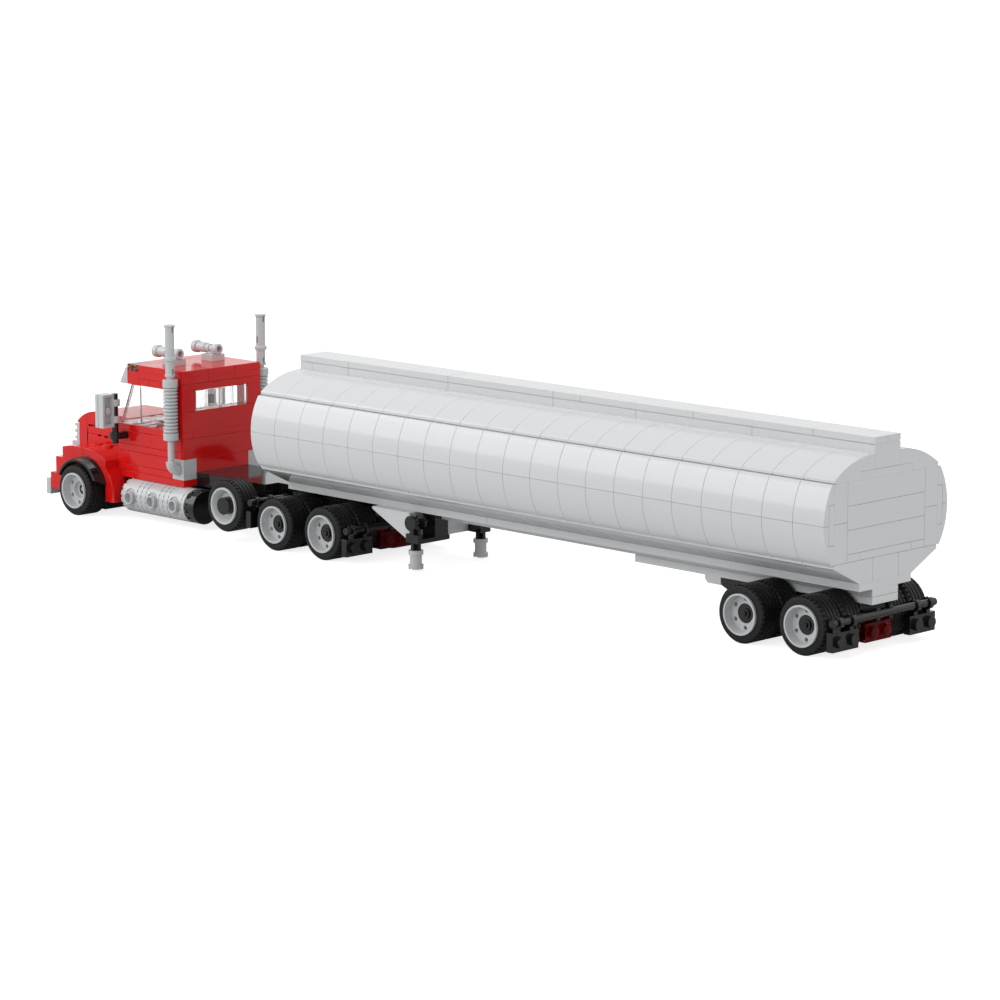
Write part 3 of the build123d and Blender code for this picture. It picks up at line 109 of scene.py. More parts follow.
def build_moulding_group():
    """Faint mottling, roughness drift and surface ripple of moulded plastic."""
    group = bpy.data.node_groups.new("moulded_surface", "ShaderNodeTree")
    for name, kind, start in (
        ("Colour", "NodeSocketColor", (0.8, 0.8, 0.8, 1)),
        ("Mottle", "NodeSocketFloat", 0.04),
        ("Roughness", "NodeSocketFloat", 0.2),
        ("Drift", "NodeSocketFloat", 0.05),
        ("Ripple", "NodeSocketFloat", 0.1),
    ):
        socket = group.interface.new_socket(name=name, in_out="INPUT", socket_type=kind)
        socket.default_value = start
    for name, kind in (
        ("Colour", "NodeSocketColor"),
        ("Roughness", "NodeSocketFloat"),
        ("Height", "NodeSocketFloat"),
    ):
        group.interface.new_socket(name=name, in_out="OUTPUT", socket_type=kind)
    link = group.links.new
    given = group.nodes.new("NodeGroupInput").outputs
    result = group.nodes.new("NodeGroupOutput").inputs
    cloud = noise(group, CLOUD_SCALE, CLOUD_DETAIL)
    swing = calculate(group, "SUBTRACT", cloud, 0.5)
    tint = group.nodes.new("ShaderNodeVectorMath")
    tint.operation = "SCALE"
    link(given["Colour"], tint.inputs[0])
    link(calculate(group, "MULTIPLY_ADD", swing, given["Mottle"], 1.0), tint.inputs["Scale"])
    link(tint.outputs[0], result["Colour"])
    rough = calculate(group, "MULTIPLY_ADD", swing, given["Drift"], given["Roughness"])
    link(rough, result["Roughness"])
    skin = noise(group, SKIN_SCALE, SKIN_DETAIL)
    link(calculate(group, "MULTIPLY", skin, given["Ripple"]), result["Height"])
    return group


moulded_surface = build_moulding_group()


def moulded(name, colour, roughness, mottle=0.04, drift=0.05, ripple=0.3, shine=0.5):
    """A plastic or rubber finish: the shader here, its small variations from the group."""
    finish = bpy.data.materials.new(name)
    finish.use_nodes = True
    tree = finish.node_tree
    link = tree.links.new
    shader = tree.nodes["Principled BSDF"].inputs
    shader["IOR"].default_value = PLASTIC_IOR
    shader["Specular IOR Level"].default_value = shine
    surface = tree.nodes.new("ShaderNodeGroup")
    surface.node_tree = moulded_surface
    for socket, value in (
        ("Colour", (*colour, 1)),
        ("Mottle", mottle),
        ("Roughness", roughness),
        ("Drift", drift),
        ("Ripple", ripple),
    ):
        surface.inputs[socket].default_value = value
    bump = tree.nodes.new("ShaderNodeBump")
    bump.inputs["Strength"].default_value = BUMP_STRENGTH
    bump.inputs["Distance"].default_value = BUMP_DEPTH * MM
    link(surface.outputs["Colour"], shader["Base Color"])
    link(surface.outputs["Roughness"], shader["Roughness"])
    link(surface.outputs["Height"], bump.inputs["Height"])
    link(bump.outputs["Normal"], shader["Normal"])
    return finish


def clear(name, colour, roughness):
    """See-through plastic."""
    finish = moulded(name, colour, roughness, mottle=0.02, drift=0.02, ripple=0.2)
    shader = finish.node_tree.nodes["Principled BSDF"].inputs
    shader["Transmission Weight"].default_value = CLEARNESS
    shader["IOR"].default_value = CLEAR_IOR
    return finish


def printed(name):
    """Dark red tile with small dark and yellow marks."""
    dark_red = (0.16, 0.012, 0.01)
    finish = moulded(name, dark_red, 0.12)
    tree = finish.node_tree
    marks = tree.nodes.new("ShaderNodeValToRGB")
    marks.color_ramp.interpolation = "CONSTANT"
    stops = marks.color_ramp.elements
    stops[0].color = (0.02, 0.005, 0.005, 1)
    stops[1].position = DARK_TO
    stops[1].color = (*dark_red, 1)
    stops.new(YELLOW_FROM).color = (0.45, 0.2, 0.04, 1)
    tree.links.new(noise(tree, MARK_SCALE, MARK_DETAIL), marks.inputs["Fac"])
    tree.links.new(marks.outputs["Color"], tree.nodes["Principled BSDF"].inputs["Base Color"])
    return finish


# One finish for each colour slot of the record, and tan for the stub axles' ends
FINISHES = {
    "red": moulded("red_plastic", (0.7, 0.008, 0.008), 0.1, shine=0.4),
    "pale_grey": moulded("pale_grey_plastic", (0.66, 0.675, 0.685), 0.14, mottle=0.02),
    "mid_grey": moulded("light_grey_plastic", (0.56, 0.58, 0.59), 0.18),
    "black": moulded("black_plastic", (0.008, 0.008, 0.008), 0.1),
    "tyre": moulded("tyre_rubber", (0.01, 0.01, 0.01), 0.45, ripple=1.0, shine=0.25),
    "clear": clear("clear_plastic", (0.97, 0.98, 0.98), 0.03),
    "clear_red": clear("clear_red_plastic", (1.0, 0.05, 0.05), 0.03),
    "amber": printed("printed_marker_tile"),
    "tan": moulded("tan_plastic", (0.5, 0.38, 0.2), 0.3),
}

slot_of = {part["node"]: part["material_slot"] for part in frame["record"]["subparts"]}
body_of = {
    node: body
    for body, members in frame["record"]["behaviour"]["bodies"].items()
    for node in members
}
for name, piece in nodes.items():
    piece.data.materials.clear()
    piece.data.materials.append(FINISHES[slot_of[name]])

# ------------------------------------------------------------------ shaping
MERGE = 1e-6  # metres within which two points are one
SHARP = 34.0  # degrees from which an outer edge is broken
CREASE = 30.0  # degrees from which shading has an edge
EDGE_BREAK = 0.1


def put_in_scene(bm, name):
    """Ends a bmesh as an object of the scene."""
    mesh = bpy.data.meshes.new(name)
    bm.to_mesh(mesh)
    bm.free()
    made = bpy.data.objects.new(name, mesh)
    home.objects.link(made)
    return made


def settle(bm, name, slot, body, replaced=(), crease=CREASE, finish=None):
    """Closes a mesh off as a finished piece: shading, finish (that of its colour slot unless one is
    given) and body.
    """
    for face in bm.faces:
        face.smooth = True
    for edge in bm.edges:
        edge.smooth = len(edge.link_faces) == 2 and edge.calc_face_angle() < radians(crease)
    piece = put_in_scene(bm, name)
    piece.data.materials.append(FINISHES[finish or slot])
    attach(piece, body)
    if replaced:
        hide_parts(*replaced)


def discard(extras):
    """Takes working objects out of the scene with their meshes."""
    for extra in extras:
        mesh = extra.data
        bpy.data.objects.remove(extra)
        bpy.data.meshes.remove(mesh)


def cut_away(blank, blades, crossing=False):
    """Takes blades out of a blank; crossing where a blade's own blocks cross each other."""
    for blade in blades:
        cut = blank.modifiers.new(blade.name, "BOOLEAN")
        cut.operation = "DIFFERENCE"
        cut.solver = "EXACT"
        cut.use_self = crossing
        cut.object = blade


def shape_of(blank, view):
    """A bmesh of the blank as its cuts leave it."""
    bm = bmesh.new()
    bm.from_mesh(blank.evaluated_get(view).to_mesh())
    return bm


def add_block(bm, low, high):
    """A block between two corners."""
    made = bmesh.ops.create_cube(bm, size=MM)["verts"]
    bmesh.ops.scale(bm, vec=[b - a for a, b in zip(low, high)], verts=made)
    bmesh.ops.translate(bm, vec=[(a + b) / 2 * MM for a, b in zip(low, high)], verts=made)
    return made


def add_rod(bm, end, radius, length, axis="Y", steps=16):
    """A rod that starts at end and runs along an axis, backwards if the length is negative."""
    made = bmesh.ops.create_cone(
        bm,
        cap_ends=True,
        segments=steps,
        radius1=radius * MM,
        radius2=radius * MM,
        depth=abs(length) * MM,
    )["verts"]
    turn = {"X": Matrix.Rotation(pi / 2, 3, "Y"), "Y": Matrix.Rotation(pi / 2, 3, "X")}
    bmesh.ops.rotate(bm, verts=made, cent=(0, 0, 0), matrix=turn.get(axis, Matrix.Identity(3)))
    middle = list(end)
    middle["XYZ".index(axis)] += length / 2
    bmesh.ops.translate(bm, vec=[v * MM for v in middle], verts=made)


def add_ring_of_blocks(bm, count, low, high, line, shift=0.0):
    """Blocks spread round a line along the lorry; line gives its place across and its height."""
    for n in range(count):
        block = add_block(bm, low, high)
        turn = Matrix.Rotation(2 * pi * (n + shift) / count, 3, "X")
        bmesh.ops.rotate(bm, verts=block, cent=(0, 0, 0), matrix=turn)
        bmesh.ops.translate(bm, verts=block, vec=(0, line[0] * MM, line[1] * MM))


def spin_round(bm, points, axis, steps, closed=False):
    """Spins a chain of points a full turn about an axis through the origin."""
    ring = [bm.verts.new(point) for point in points]
    chain = [bm.edges.new(pair) for pair in zip(ring, ring[1:])]
    if closed:
        chain.append(bm.edges.new((ring[-1], ring[0])))
    bmesh.ops.spin(
        bm,
        geom=ring + chain,
        cent=(0, 0, 0),
        axis=axis,
        dvec=(0, 0, 0),
        angle=2 * pi,
        steps=steps,
        use_merge=True,
        use_duplicate=False,
    )


def add_turned(bm, outline, place, axis, steps=32):
    """A solid turned from an outline of (distance along the axis, radius) pairs."""
    before = set(bm.verts)
    spin_round(bm, [(reach * MM, 0, radius * MM) for reach, radius in outline], (1, 0, 0), steps)
    bmesh.ops.remove_doubles(bm, verts=[v for v in bm.verts if v not in before], dist=MERGE)
    fresh = [v for v in bm.verts if v not in before]
    turn = {"Y": Matrix.Rotation(pi / 2, 3, "Z"), "Z": Matrix.Rotation(-pi / 2, 3, "Y")}
    bmesh.ops.rotate(bm, verts=fresh, cent=(0, 0, 0), matrix=turn.get(axis, Matrix.Identity(3)))
    bmesh.ops.translate(bm, vec=[v * MM for v in place], verts=fresh)
    bmesh.ops.recalc_face_normals(bm, faces=bm.faces)


def round_off(bm, offset):
    """Breaks every sharp outer edge."""
    outer = [
        edge
        for edge in bm.edges
        if len(edge.link_faces) == 2 and edge.is_convex and edge.calc_face_angle() > radians(SHARP)
    ]
    bmesh.ops.bevel(
        bm,
        geom=outer,
        offset=offset * MM,
        offset_type="OFFSET",
        segments=1,
        profile=0.5,
        affect="EDGES",
        clamp_overlap=False,
        material=-1,
    )


# -------------------------------------------------------------------- seams
# Where bricks meet, as rows in studs and plates: from and to along the lorry (studs),
# across it (studs) and up (plates). The equal pair is the plane of the seam.
SEAM = 0.11
TANK = 42
PANELS = range(2, TANK, 2)
PROUD = 0.1  # studs that a seam at an end face reaches past it
OVERSHOOT = 1.0  # how far any other cut reaches past its solid, in mm
WIDE = 5.2  # studs from the middle to past the tank's sides
# Thin bands, in studs, that hold a face: the cab's rear and sides, and the wings' sides
CAB_BACK = (49.9, 50.1)
CAB_SIDE = (2.9, 3.1)
WING_SIDE = (3.9, 4.1)


def across(studs, z0, z1, y0=-WIDE, y1=WIDE):
    """Upright seams across the lorry."""
    return [(s, s, y0, y1, z0, z1) for s in studs]


def level(plates, x0, x1, y0=-WIDE, y1=WIDE):
    """Level seams."""
    return [(x0, x1, y0, y1, p, p) for p in plates]


def lengthwise(sides, x0, x1, z0, z1):
    """Upright seams along the lorry."""
    return [(x0, x1, s, s, z0, z1) for s in sides]


def both(rows):
    """The same seams on the left and on the right."""
    return rows + [(a, b, -d, -c, e, f) for a, b, c, d, e, f in rows]


def tank_end_seams():
    """Seams in the end faces: those of the core's bricks, then those of the bulged sides."""
    core, sides = [], both(level([9], -PROUD, TANK + PROUD, 4.4, WIDE))
    for end in (0, TANK):
        near, far = end - PROUD, end + PROUD
        core += level([5, 8, 11], near, far, -3, 3) + level([4], near, far, -4.1, 4.1)
        core += both(level([9], near, far, 3, 4.1))
        core += lengthwise([3, -3], near, far, 4, 14.1) + lengthwise([2, -2], near, far, 4, 5)
        core += lengthwise([1, -1], near, far, 0.9, 4)
        sides += both(level([6.5, 11.5], near, far, 4, 4.4))
        sides += lengthwise([4.4, -4.4], near, far, 6.5, 11.5)
    return core, sides


CORE_END_SEAMS, SIDE_END_SEAMS = tank_end_seams()
SEAMS = {
    "tank_core": CORE_END_SEAMS
    + across(PANELS, 0.8, 3.9)
    + both(level([4], 0.3, TANK - 0.3, 3.9, 4.1)),
    "tank_sides": SIDE_END_SEAMS + across(PANELS, 3.9, 14.1) + both(level([14], 0, TANK, 3.9, 5)),
    "tank_top_slopes": across(PANELS, 13.9, 18.5) + both(level([14], 0, TANK, 3.9, 5)),
    "catwalk_riser": across([8, 16, 22, 30, 38, 41], 15, 18.2)
    + level([15], -PROUD, PROUD, -2.1, 2.1)
    + across([10, 20, 30], 13.9, 15),
    "catwalk_tiles": across([4, 12, 20, 22, 30, 38], 17.9, 19.2)
    + lengthwise([0], -PROUD, TANK + PROUD, 17.9, 19.2),
    "trailer_frame": across([26], -0.1, 1.1),
    "trailer_keel": across([14], -1.1, 0) + level([-1], -0.1, 16.1) + across([24], -2.2, 0.1),
    "cab_lower": both(level([5, 3, 2, 0, -1], 50, 56.2, *CAB_SIDE))
    + level([5, 2], *CAB_BACK, -2.9, 2.9)
    + both(across([53], 3.8, 6.1, *CAB_SIDE) + across([55], 0, 2, *CAB_SIDE))
    + both(across([54], 5, 6.1, *CAB_SIDE))
    + lengthwise([2.2, -2.2], *CAB_BACK, 5, 6),
    "cab_back": both(level([9], 49.9, 51.2, 2, 3.1)) + level([12], *CAB_BACK, -2.9, 2.9),
    "cab_header": level([13], 49.9, 54)
    + across([54], 12, 14.1)
    + both(across([53], 12, 13, 2, 3.1))
    + lengthwise([1, -1], 49.9, 50.12, 13, 14.1),
    "cab_roof": across([54], 13.9, 15.1) + lengthwise([1, -1], 49.9, 55.1, 13.9, 15.1),
    "bonnet": both(across([60.12], -4, 8, 1.8, 2.1)) + both(level([3], 56, 60.1, 1.9, 2.1)),
    "wings": both(
        across([59], -6, 1.1, *WING_SIDE)
        + level([0], 56, 59, *WING_SIDE)
        + across([58], 0, 2.1, *WING_SIDE)
        + level([-2.4, -4.2], 59, 62, 2, 4.1)
    ),
    "visor": lengthwise([1, -1], 54.9, 56, 12, 15),
    "grille": lengthwise([0], 60, 62, -5, 6),
    "front_bumper": lengthwise([0, 2, -2], 60, 63, -8, 1),
}


def seam_blades(node):
    """One cutting mesh for each direction, so that no two of its blocks cross."""
    blades = []
    for axis in range(3):
        rows = [row for row in SEAMS.get(node, ()) if row[2 * axis] == row[2 * axis + 1]]
        if not rows:
            continue
        bm = bmesh.new()
        for row in rows:
            low = [along(row[0]), row[2] * STUD, height(row[4])]
            high = [along(row[1]), row[3] * STUD, height(row[5])]
            low[axis] -= SEAM / 2
            high[axis] += SEAM / 2
            add_block(bm, low, high)
        blades.append(put_in_scene(bm, f"{node}_seams_{axis}"))
    return blades


# ------------------------------------------------------------------- wheels
AXLE_Z = 12.0
TWIN_FACES = (33.0, 21.0)
LIFT_RISE = 4.8
LIFT_X, LIFT_Z = along(45), AXLE_Z + LIFT_RISE
LIFT_FACE = 34.8
FRONT_X = along(57.8)
FRONT_FACE = 40.2
RIM_DISH = 4.0
TWIN_AXLES = (("trailer_rear", 2), ("trailer_front", 6), ("drive_rear", 37), ("drive_front", 41))
# Axle, place along, height, outer face of the rim, depth of its dish
WHEELS = [
    *[(axle, along(stud), AXLE_Z, face, RIM_DISH) for axle, stud in TWIN_AXLES for face in TWIN_FACES],
    ("lift", LIFT_X, LIFT_Z, LIFT_FACE, 0),
    ("front", FRONT_X, AXLE_Z, FRONT_FACE, RIM_DISH),
]

BOLTS = 6
BOLT_START = 30
BOLT_RING = 6.0
BOLT_R = 0.9
BOLT_DEPTH = 4.5

TYRE_R = 12.0
TYRE_W = 11.2
TYRE_INSET = 1.0
TYRE_CREASE = 25.0
TREAD_STEPS = 72
GROOVES = (2.6, 4.6, 6.6, 8.6)
# One half of a tyre's section, from the bore out over the shoulder: radius, place inwards
TYRE_SHOULDER = (
    (8.55, 0.0),
    (9.3, 0.0),
    (9.6, 0.0),
    (11.1, 0.0),
    (11.4, 0.1),
    (TYRE_R, 0.9),
    (TYRE_R, 1.9),
)
# One groove round the tread: radius, place from its middle
GROOVE = ((TYRE_R, -0.28), (TYRE_R - 0.5, -0.2), (TYRE_R - 0.5, 0.2), (TYRE_R, 0.28))
# Every other face of the shoulder outside this radius, and no further in, is notched
NOTCH_LEAST_R = 11.45
NOTCH_REACH = 1.6
NOTCH_DEPTH = 0.4
NOTCH_MARGIN = 0.12


def wheel_set(axle, side):
    """The front wheels turn one by one; every other axle turns as one set."""
    if axle != "front":
        return axle
    return "front_left" if side > 0 else "front_right"


def bolt_holes():
    """Six holes through each dished web."""
    drilled = {}
    for axle, x, z, face, dish in WHEELS:
        if not dish:
            continue
        for side in SIDES:
            bm = drilled.setdefault(f"{wheel_set(axle, side)}_rims", bmesh.new())
            for n in range(BOLTS):
                turn = radians(BOLT_START + 360 * n / BOLTS)
                mouth = side * (face + OVERSHOOT)
                place = (x + BOLT_RING * cos(turn), mouth, z + BOLT_RING * sin(turn))
                add_rod(bm, place, BOLT_R, -side * (dish + BOLT_DEPTH), steps=12)
    return {node: [put_in_scene(bm, f"{node}_holes")] for node, bm in drilled.items()}


def tyre_pattern():
    """A tyre on the Y axis, its outer face at 0, with tread grooves and notched shoulders."""
    outline = list(TYRE_SHOULDER)
    for middle in GROOVES:
        outline += [(radius, middle + off) for radius, off in GROOVE]
    outline += [(radius, TYRE_W - inward) for radius, inward in reversed(TYRE_SHOULDER)]
    bm = bmesh.new()
    points = [(0, -inward * MM, radius * MM) for radius, inward in outline]
    spin_round(bm, points, (0, 1, 0), TREAD_STEPS, closed=True)
    bmesh.ops.remove_doubles(bm, verts=bm.verts, dist=MERGE)
    bmesh.ops.recalc_face_normals(bm, faces=bm.faces)
    notched = []
    for face in bm.faces:
        middle = face.calc_center_median() / MM
        inward = min(-middle.y, TYRE_W + middle.y)
        step = int((atan2(middle.z, middle.x) / (2 * pi) + 1) * TREAD_STEPS)
        on_shoulder = hypot(middle.x, middle.z) > NOTCH_LEAST_R and inward < NOTCH_REACH
        if on_shoulder and step % 2 == 0:
            notched.append(face)
    bmesh.ops.inset_individual(bm, faces=notched, thickness=NOTCH_MARGIN * MM, depth=-NOTCH_DEPTH * MM)
    mesh = bpy.data.meshes.new("tyre_pattern")
    bm.to_mesh(mesh)
    bm.free()
    return mesh


def fit_tyres():
    """A treaded tyre in place of each plain one, one piece for each set that turns."""
    pattern = tyre_pattern()
    sets = {}
    for axle, x, z, face, _ in WHEELS:
        for side in SIDES:
            bm = sets.setdefault(wheel_set(axle, side), bmesh.new())
            before = set(bm.verts)
            bm.from_mesh(pattern)
            outer = face - TYRE_INSET
            if side < 0:
                outer = TYRE_W - outer
            fresh = [v for v in bm.verts if v not in before]
            bmesh.ops.translate(bm, vec=(x * MM, outer * MM, z * MM), verts=fresh)
    for group, bm in sets.items():
        node = f"{group}_tyres"
        settle(bm, f"{group}_treaded_tyres", "tyre", body_of[node], [node], crease=TYRE_CREASE)
    bpy.data.meshes.remove(pattern)


# ------------------------------------------- small cuts into copied solids
PLAY_R = 2.75
PLAY_HALF = 17.0

ELBOW_Z = height(0) + 1.6
ELBOW_GAP = (24.03, 24.4)
ELBOW_GAP_HALF = 3.2
ELBOW_GAP_INSET = 0.5

MIRROR_BACK = along(56) - 6.5
MIRROR_LOW = height(0) + 18.2
MIRROR_H = 15.8
MIRROR_SPAN = (31.0, 37.8)
MIRROR_GROOVE = (MIRROR_BACK + 3.6, MIRROR_BACK + 3.95)
GROOVE_DEPTH = 0.5
HOLLOW_DEPTH = 2.4
HOLLOW_SIDE_WALL = 1.3
HOLLOW_END_WALL = 1.7

CRANK_X, CRANK_Z = along(31), height(0) - 3.8
CRANK_FACE = 24.2
CRANK_DOTS = 6
DOT_RING = 2.3
DOT_R = 0.36
DOT_DEPTH = 0.85

# The step under a lip: from in behind its edge to out past it, and from below it upwards
LIP_ACROSS = (-0.7, 0.3)
LIP_UPWARDS = (-0.1, 0.28)


def lift_bearing():
    """Play round the raised axle's shaft where it turns in the chassis."""
    bm = bmesh.new()
    add_rod(bm, (LIFT_X, -PLAY_HALF, LIFT_Z), PLAY_R, 2 * PLAY_HALF, steps=32)
    return put_in_scene(bm, "lift_bearing")


def elbow_gaps():
    """The thin gap between each elbow and its corner block."""
    bm = bmesh.new()
    for side in SIDES:
        y0, y1 = span(side, *ELBOW_GAP)
        low = (along(50) + ELBOW_GAP_INSET, y0, ELBOW_Z - ELBOW_GAP_HALF)
        add_block(bm, low, (along(51) - ELBOW_GAP_INSET, y1, ELBOW_Z + ELBOW_GAP_HALF))
    return put_in_scene(bm, "elbow_gaps")


def lip_shadows(z, y):
    """A fine step under the outer edge of one of the tank's upper courses, on both sides."""
    bm = bmesh.new()
    for side in SIDES:
        y0, y1 = span(side, y + LIP_ACROSS[0], y + LIP_ACROSS[1])
        low = (TAIL - OVERSHOOT, y0, z + LIP_UPWARDS[0])
        add_block(bm, low, (along(TANK) + OVERSHOOT, y1, z + LIP_UPWARDS[1]))
    return put_in_scene(bm, "lip_shadow")


def mirror_grooves():
    """A groove round each mirror housing and a deep hollow in its back."""
    bm = bmesh.new()
    near, far = MIRROR_GROOVE
    low, high = MIRROR_LOW, MIRROR_LOW + MIRROR_H
    for side in SIDES:
        y0, y1 = span(side, *MIRROR_SPAN)
        for a, b in ((y0 - OVERSHOOT, y0 + GROOVE_DEPTH), (y1 - GROOVE_DEPTH, y1 + OVERSHOOT)):
            add_block(bm, (near, a, low + GROOVE_DEPTH), (far, b, high - GROOVE_DEPTH))
        for a, b in ((low - OVERSHOOT, low + GROOVE_DEPTH), (high - GROOVE_DEPTH, high + OVERSHOOT)):
            add_block(bm, (near, y0 - OVERSHOOT, a), (far, y1 + OVERSHOOT, b))
        mouth = (MIRROR_BACK - OVERSHOOT, y0 + HOLLOW_SIDE_WALL, low + HOLLOW_END_WALL)
        floor = (MIRROR_BACK + HOLLOW_DEPTH, y1 - HOLLOW_SIDE_WALL, high - HOLLOW_END_WALL)
        add_block(bm, mouth, floor)
    return put_in_scene(bm, "mirror_grooves")


def crank_dots():
    """Six small round pits in the face of each crank disc."""
    bm = bmesh.new()
    for side in SIDES:
        for n in range(CRANK_DOTS):
            turn = radians(360 * n / CRANK_DOTS)
            place = (CRANK_X + DOT_RING * cos(turn), side * CRANK_FACE, CRANK_Z + DOT_RING * sin(turn))
            add_rod(bm, place, DOT_R, -side * DOT_DEPTH, steps=10)
    return put_in_scene(bm, "crank_dots")


def small_cuts():
    """Every small cut, by the node that it is made in."""
    return {
        **bolt_holes(),
        "mirrors": [mirror_grooves()],
        "chassis": [lift_bearing()],
        "stack_elbows": [elbow_gaps()],
        "tank_top_slopes": [lip_shadows(height(14), 4 * STUD)],
        "catwalk_tiles": [lip_shadows(height(18), 2 * STUD)],
        "landing_cranks": [crank_dots()],
    }


# ----------------------------------------------- dressing the copied solids
OWN_SHAPE = ("horns", "fuel_tanks", "rear_window", "stacks", "windscreen")
# Walls with openings keep all their faces, so that none closes over a window
OPEN_WALLS = ("cab_back", "cab_lower", "bonnet")
FINE_EDGES = ("mirrors", "landing_feet", "landing_cranks")
FINE_BREAK = 0.06
FLAT = 0.4  # degrees within which neighbouring faces are one


def dress_solids():
    """Copies each solid, parts it at its seams, breaks its sharp edges and smooths its curves."""
    cuts = small_cuts()
    blanks, blades = {}, []
    for node, source in nodes.items():
        if node in OWN_SHAPE or node.endswith("_tyres"):
            continue
        bm = bmesh.new()
        bm.from_mesh(source.data)
        bmesh.ops.remove_doubles(bm, verts=bm.verts, dist=MERGE)
        blanks[node] = put_in_scene(bm, f"{node}_blank")
        tools = seam_blades(node) + cuts.get(node, [])
        cut_away(blanks[node], tools, crossing=True)
        blades += tools
    view = bpy.context.evaluated_depsgraph_get()
    for node, blank in blanks.items():
        bm = shape_of(blank, view)
        bmesh.ops.remove_doubles(bm, verts=bm.verts, dist=2 * MERGE)
        if node not in OPEN_WALLS:
            bmesh.ops.dissolve_limit(
                bm,
                angle_limit=radians(FLAT),
                use_dissolve_boundaries=False,
                verts=bm.verts,
                edges=bm.edges,
                delimit=set(),
            )
        round_off(bm, FINE_BREAK if node in FINE_EDGES else EDGE_BREAK)
        settle(bm, f"{node}_moulded", slot_of[node], body_of[node], [node])
    discard([*blades, *blanks.values()])


# ------------------------------------------------- pieces with own meshes
ROOF = height(15)
HORN_X = along(52)
HORN_Y = 12.0
HORN_RISE = 5.6
HORN_SEAT_R = 2.1
HORN_SEAT_SINK = 0.5
TILE_GAP = 0.06
# Horn outline from the open rear end to the bell: distance forward, radius
HORN_RINGS = (
    (1.6, 0.0),
    (1.6, 1.4),
    (-0.5, 1.4),
    (-0.5, 2.35),
    (-0.3, 2.55),
    (1.9, 2.55),
    (2.2, 2.3),
    (2.3, 1.6),
    (5.3, 1.6),
    (5.3, 2.05),
    (8.1, 2.05),
    (8.1, 2.4),
    (14.2, 2.4),
    (14.2, 2.95),
    (16.9, 2.95),
    (17.2, 2.7),
    (17.2, 2.2),
    (16.2, 1.8),
    (16.2, 0.0),
)


def build_horns():
    """Two horns on their tiles, each seated on a short stud."""
    bm = bmesh.new()
    for side in SIDES:
        y = side * HORN_Y
        add_turned(bm, HORN_RINGS, (HORN_X, y, ROOF + HORN_RISE), "X")
        low = (HORN_X + TILE_GAP, y - STUD / 2 + TILE_GAP, ROOF)
        high = (HORN_X + STUD - TILE_GAP, y + STUD / 2 - TILE_GAP, ROOF + PLATE - TOUCH)
        add_block(bm, low, high)
        seat = (HORN_X + STUD / 2, y, ROOF + PLATE - HORN_SEAT_SINK)
        add_rod(bm, seat, HORN_SEAT_R, STUD_H, axis="Z", steps=24)
    round_off(bm, EDGE_BREAK)
    settle(bm, "horns_on_tiles", "mid_grey", "tractor", ["horns"])


STACK_X = along(50.5)
STACK_Y = 28.0
STACK_FOOT, MUFFLER_TOP = height(0), height(14)
RIBS = 13
RIB_START, RIB_END = STACK_FOOT + 19.6, MUFFLER_TOP - 4.0
RIB_STEP = (RIB_END - RIB_START) / RIBS
# Outlines up the stack, as height and radius: below the ribs, one rib (its height as a
# share of the step), and the muffler's cap with the pipe and its ring above
STACK_LOWER = ((5.8, 0.0), (5.8, 1.6), (15.9, 1.6), (16.0, 3.4), (16.2, 3.6), (19.4, 3.6))
RIB = ((0.0, 2.55), (0.2, 3.35), (0.45, 3.5), (0.7, 3.35), (0.92, 2.55))
STACK_UPPER = (
    (-4.0, 3.4),
    (-3.8, 3.6),
    (-0.6, 3.6),
    (-0.4, 3.4),
    (-0.4, 1.6),
    (0.9, 1.6),
    (1.0, 2.4),
    (2.0, 2.4),
    (2.3, 2.15),
    (8.2, 2.15),
    (8.3, 2.7),
    (8.6, 2.9),
    (9.8, 2.9),
    (10.1, 2.7),
    (10.2, 2.2),
    (23.7, 2.2),
    (24.3, 2.55),
    (25.15, 2.55),
    (25.15, 0.0),
)
SLOT_HALF = 0.55
SLOT_H = 2.9
SLOT_REACH = (1.2, 4.0)
REAR_SLOT_TOPS = (24.4, 4.6)
INNER_SLOT = (11.6, 14.6)


def stack_outline():
    """The whole outline of a stack from its foot up, as height and radius."""
    ribs = [(RIB_START + RIB_STEP * (n + share), radius) for n in range(RIBS) for share, radius in RIB]
    lower = [(STACK_FOOT + rise, radius) for rise, radius in STACK_LOWER]
    return lower + ribs + [(MUFFLER_TOP + rise, radius) for rise, radius in STACK_UPPER]


def stack_slots():
    """Narrow slots in the pipes above and below their ring."""
    bm = bmesh.new()
    near, far = SLOT_REACH
    for side in SIDES:
        y = side * STACK_Y
        for rise in REAR_SLOT_TOPS:
            top = MUFFLER_TOP + rise
            low = (STACK_X - far, y - SLOT_HALF, top - SLOT_H)
            add_block(bm, low, (STACK_X - near, y + SLOT_HALF, top))
        y0, y1 = span(side, STACK_Y - far, STACK_Y - near)
        foot, top = (MUFFLER_TOP + rise for rise in INNER_SLOT)
        add_block(bm, (STACK_X - SLOT_HALF, y0, foot), (STACK_X + SLOT_HALF, y1, top))
    return put_in_scene(bm, "stack_slots")


def build_stacks():
    """Exhaust stacks: a ribbed muffler on its pipe and a slotted pipe above."""
    pipes = bmesh.new()
    for side in SIDES:
        add_turned(pipes, stack_outline(), (STACK_X, side * STACK_Y, 0), "Z", steps=40)
    blank, slots = put_in_scene(pipes, "stack_blank"), stack_slots()
    cut_away(blank, [slots])
    bm = shape_of(blank, bpy.context.evaluated_depsgraph_get())
    settle(bm, "ribbed_stacks", "mid_grey", "tractor", ["stacks"])
    discard([blank, slots])


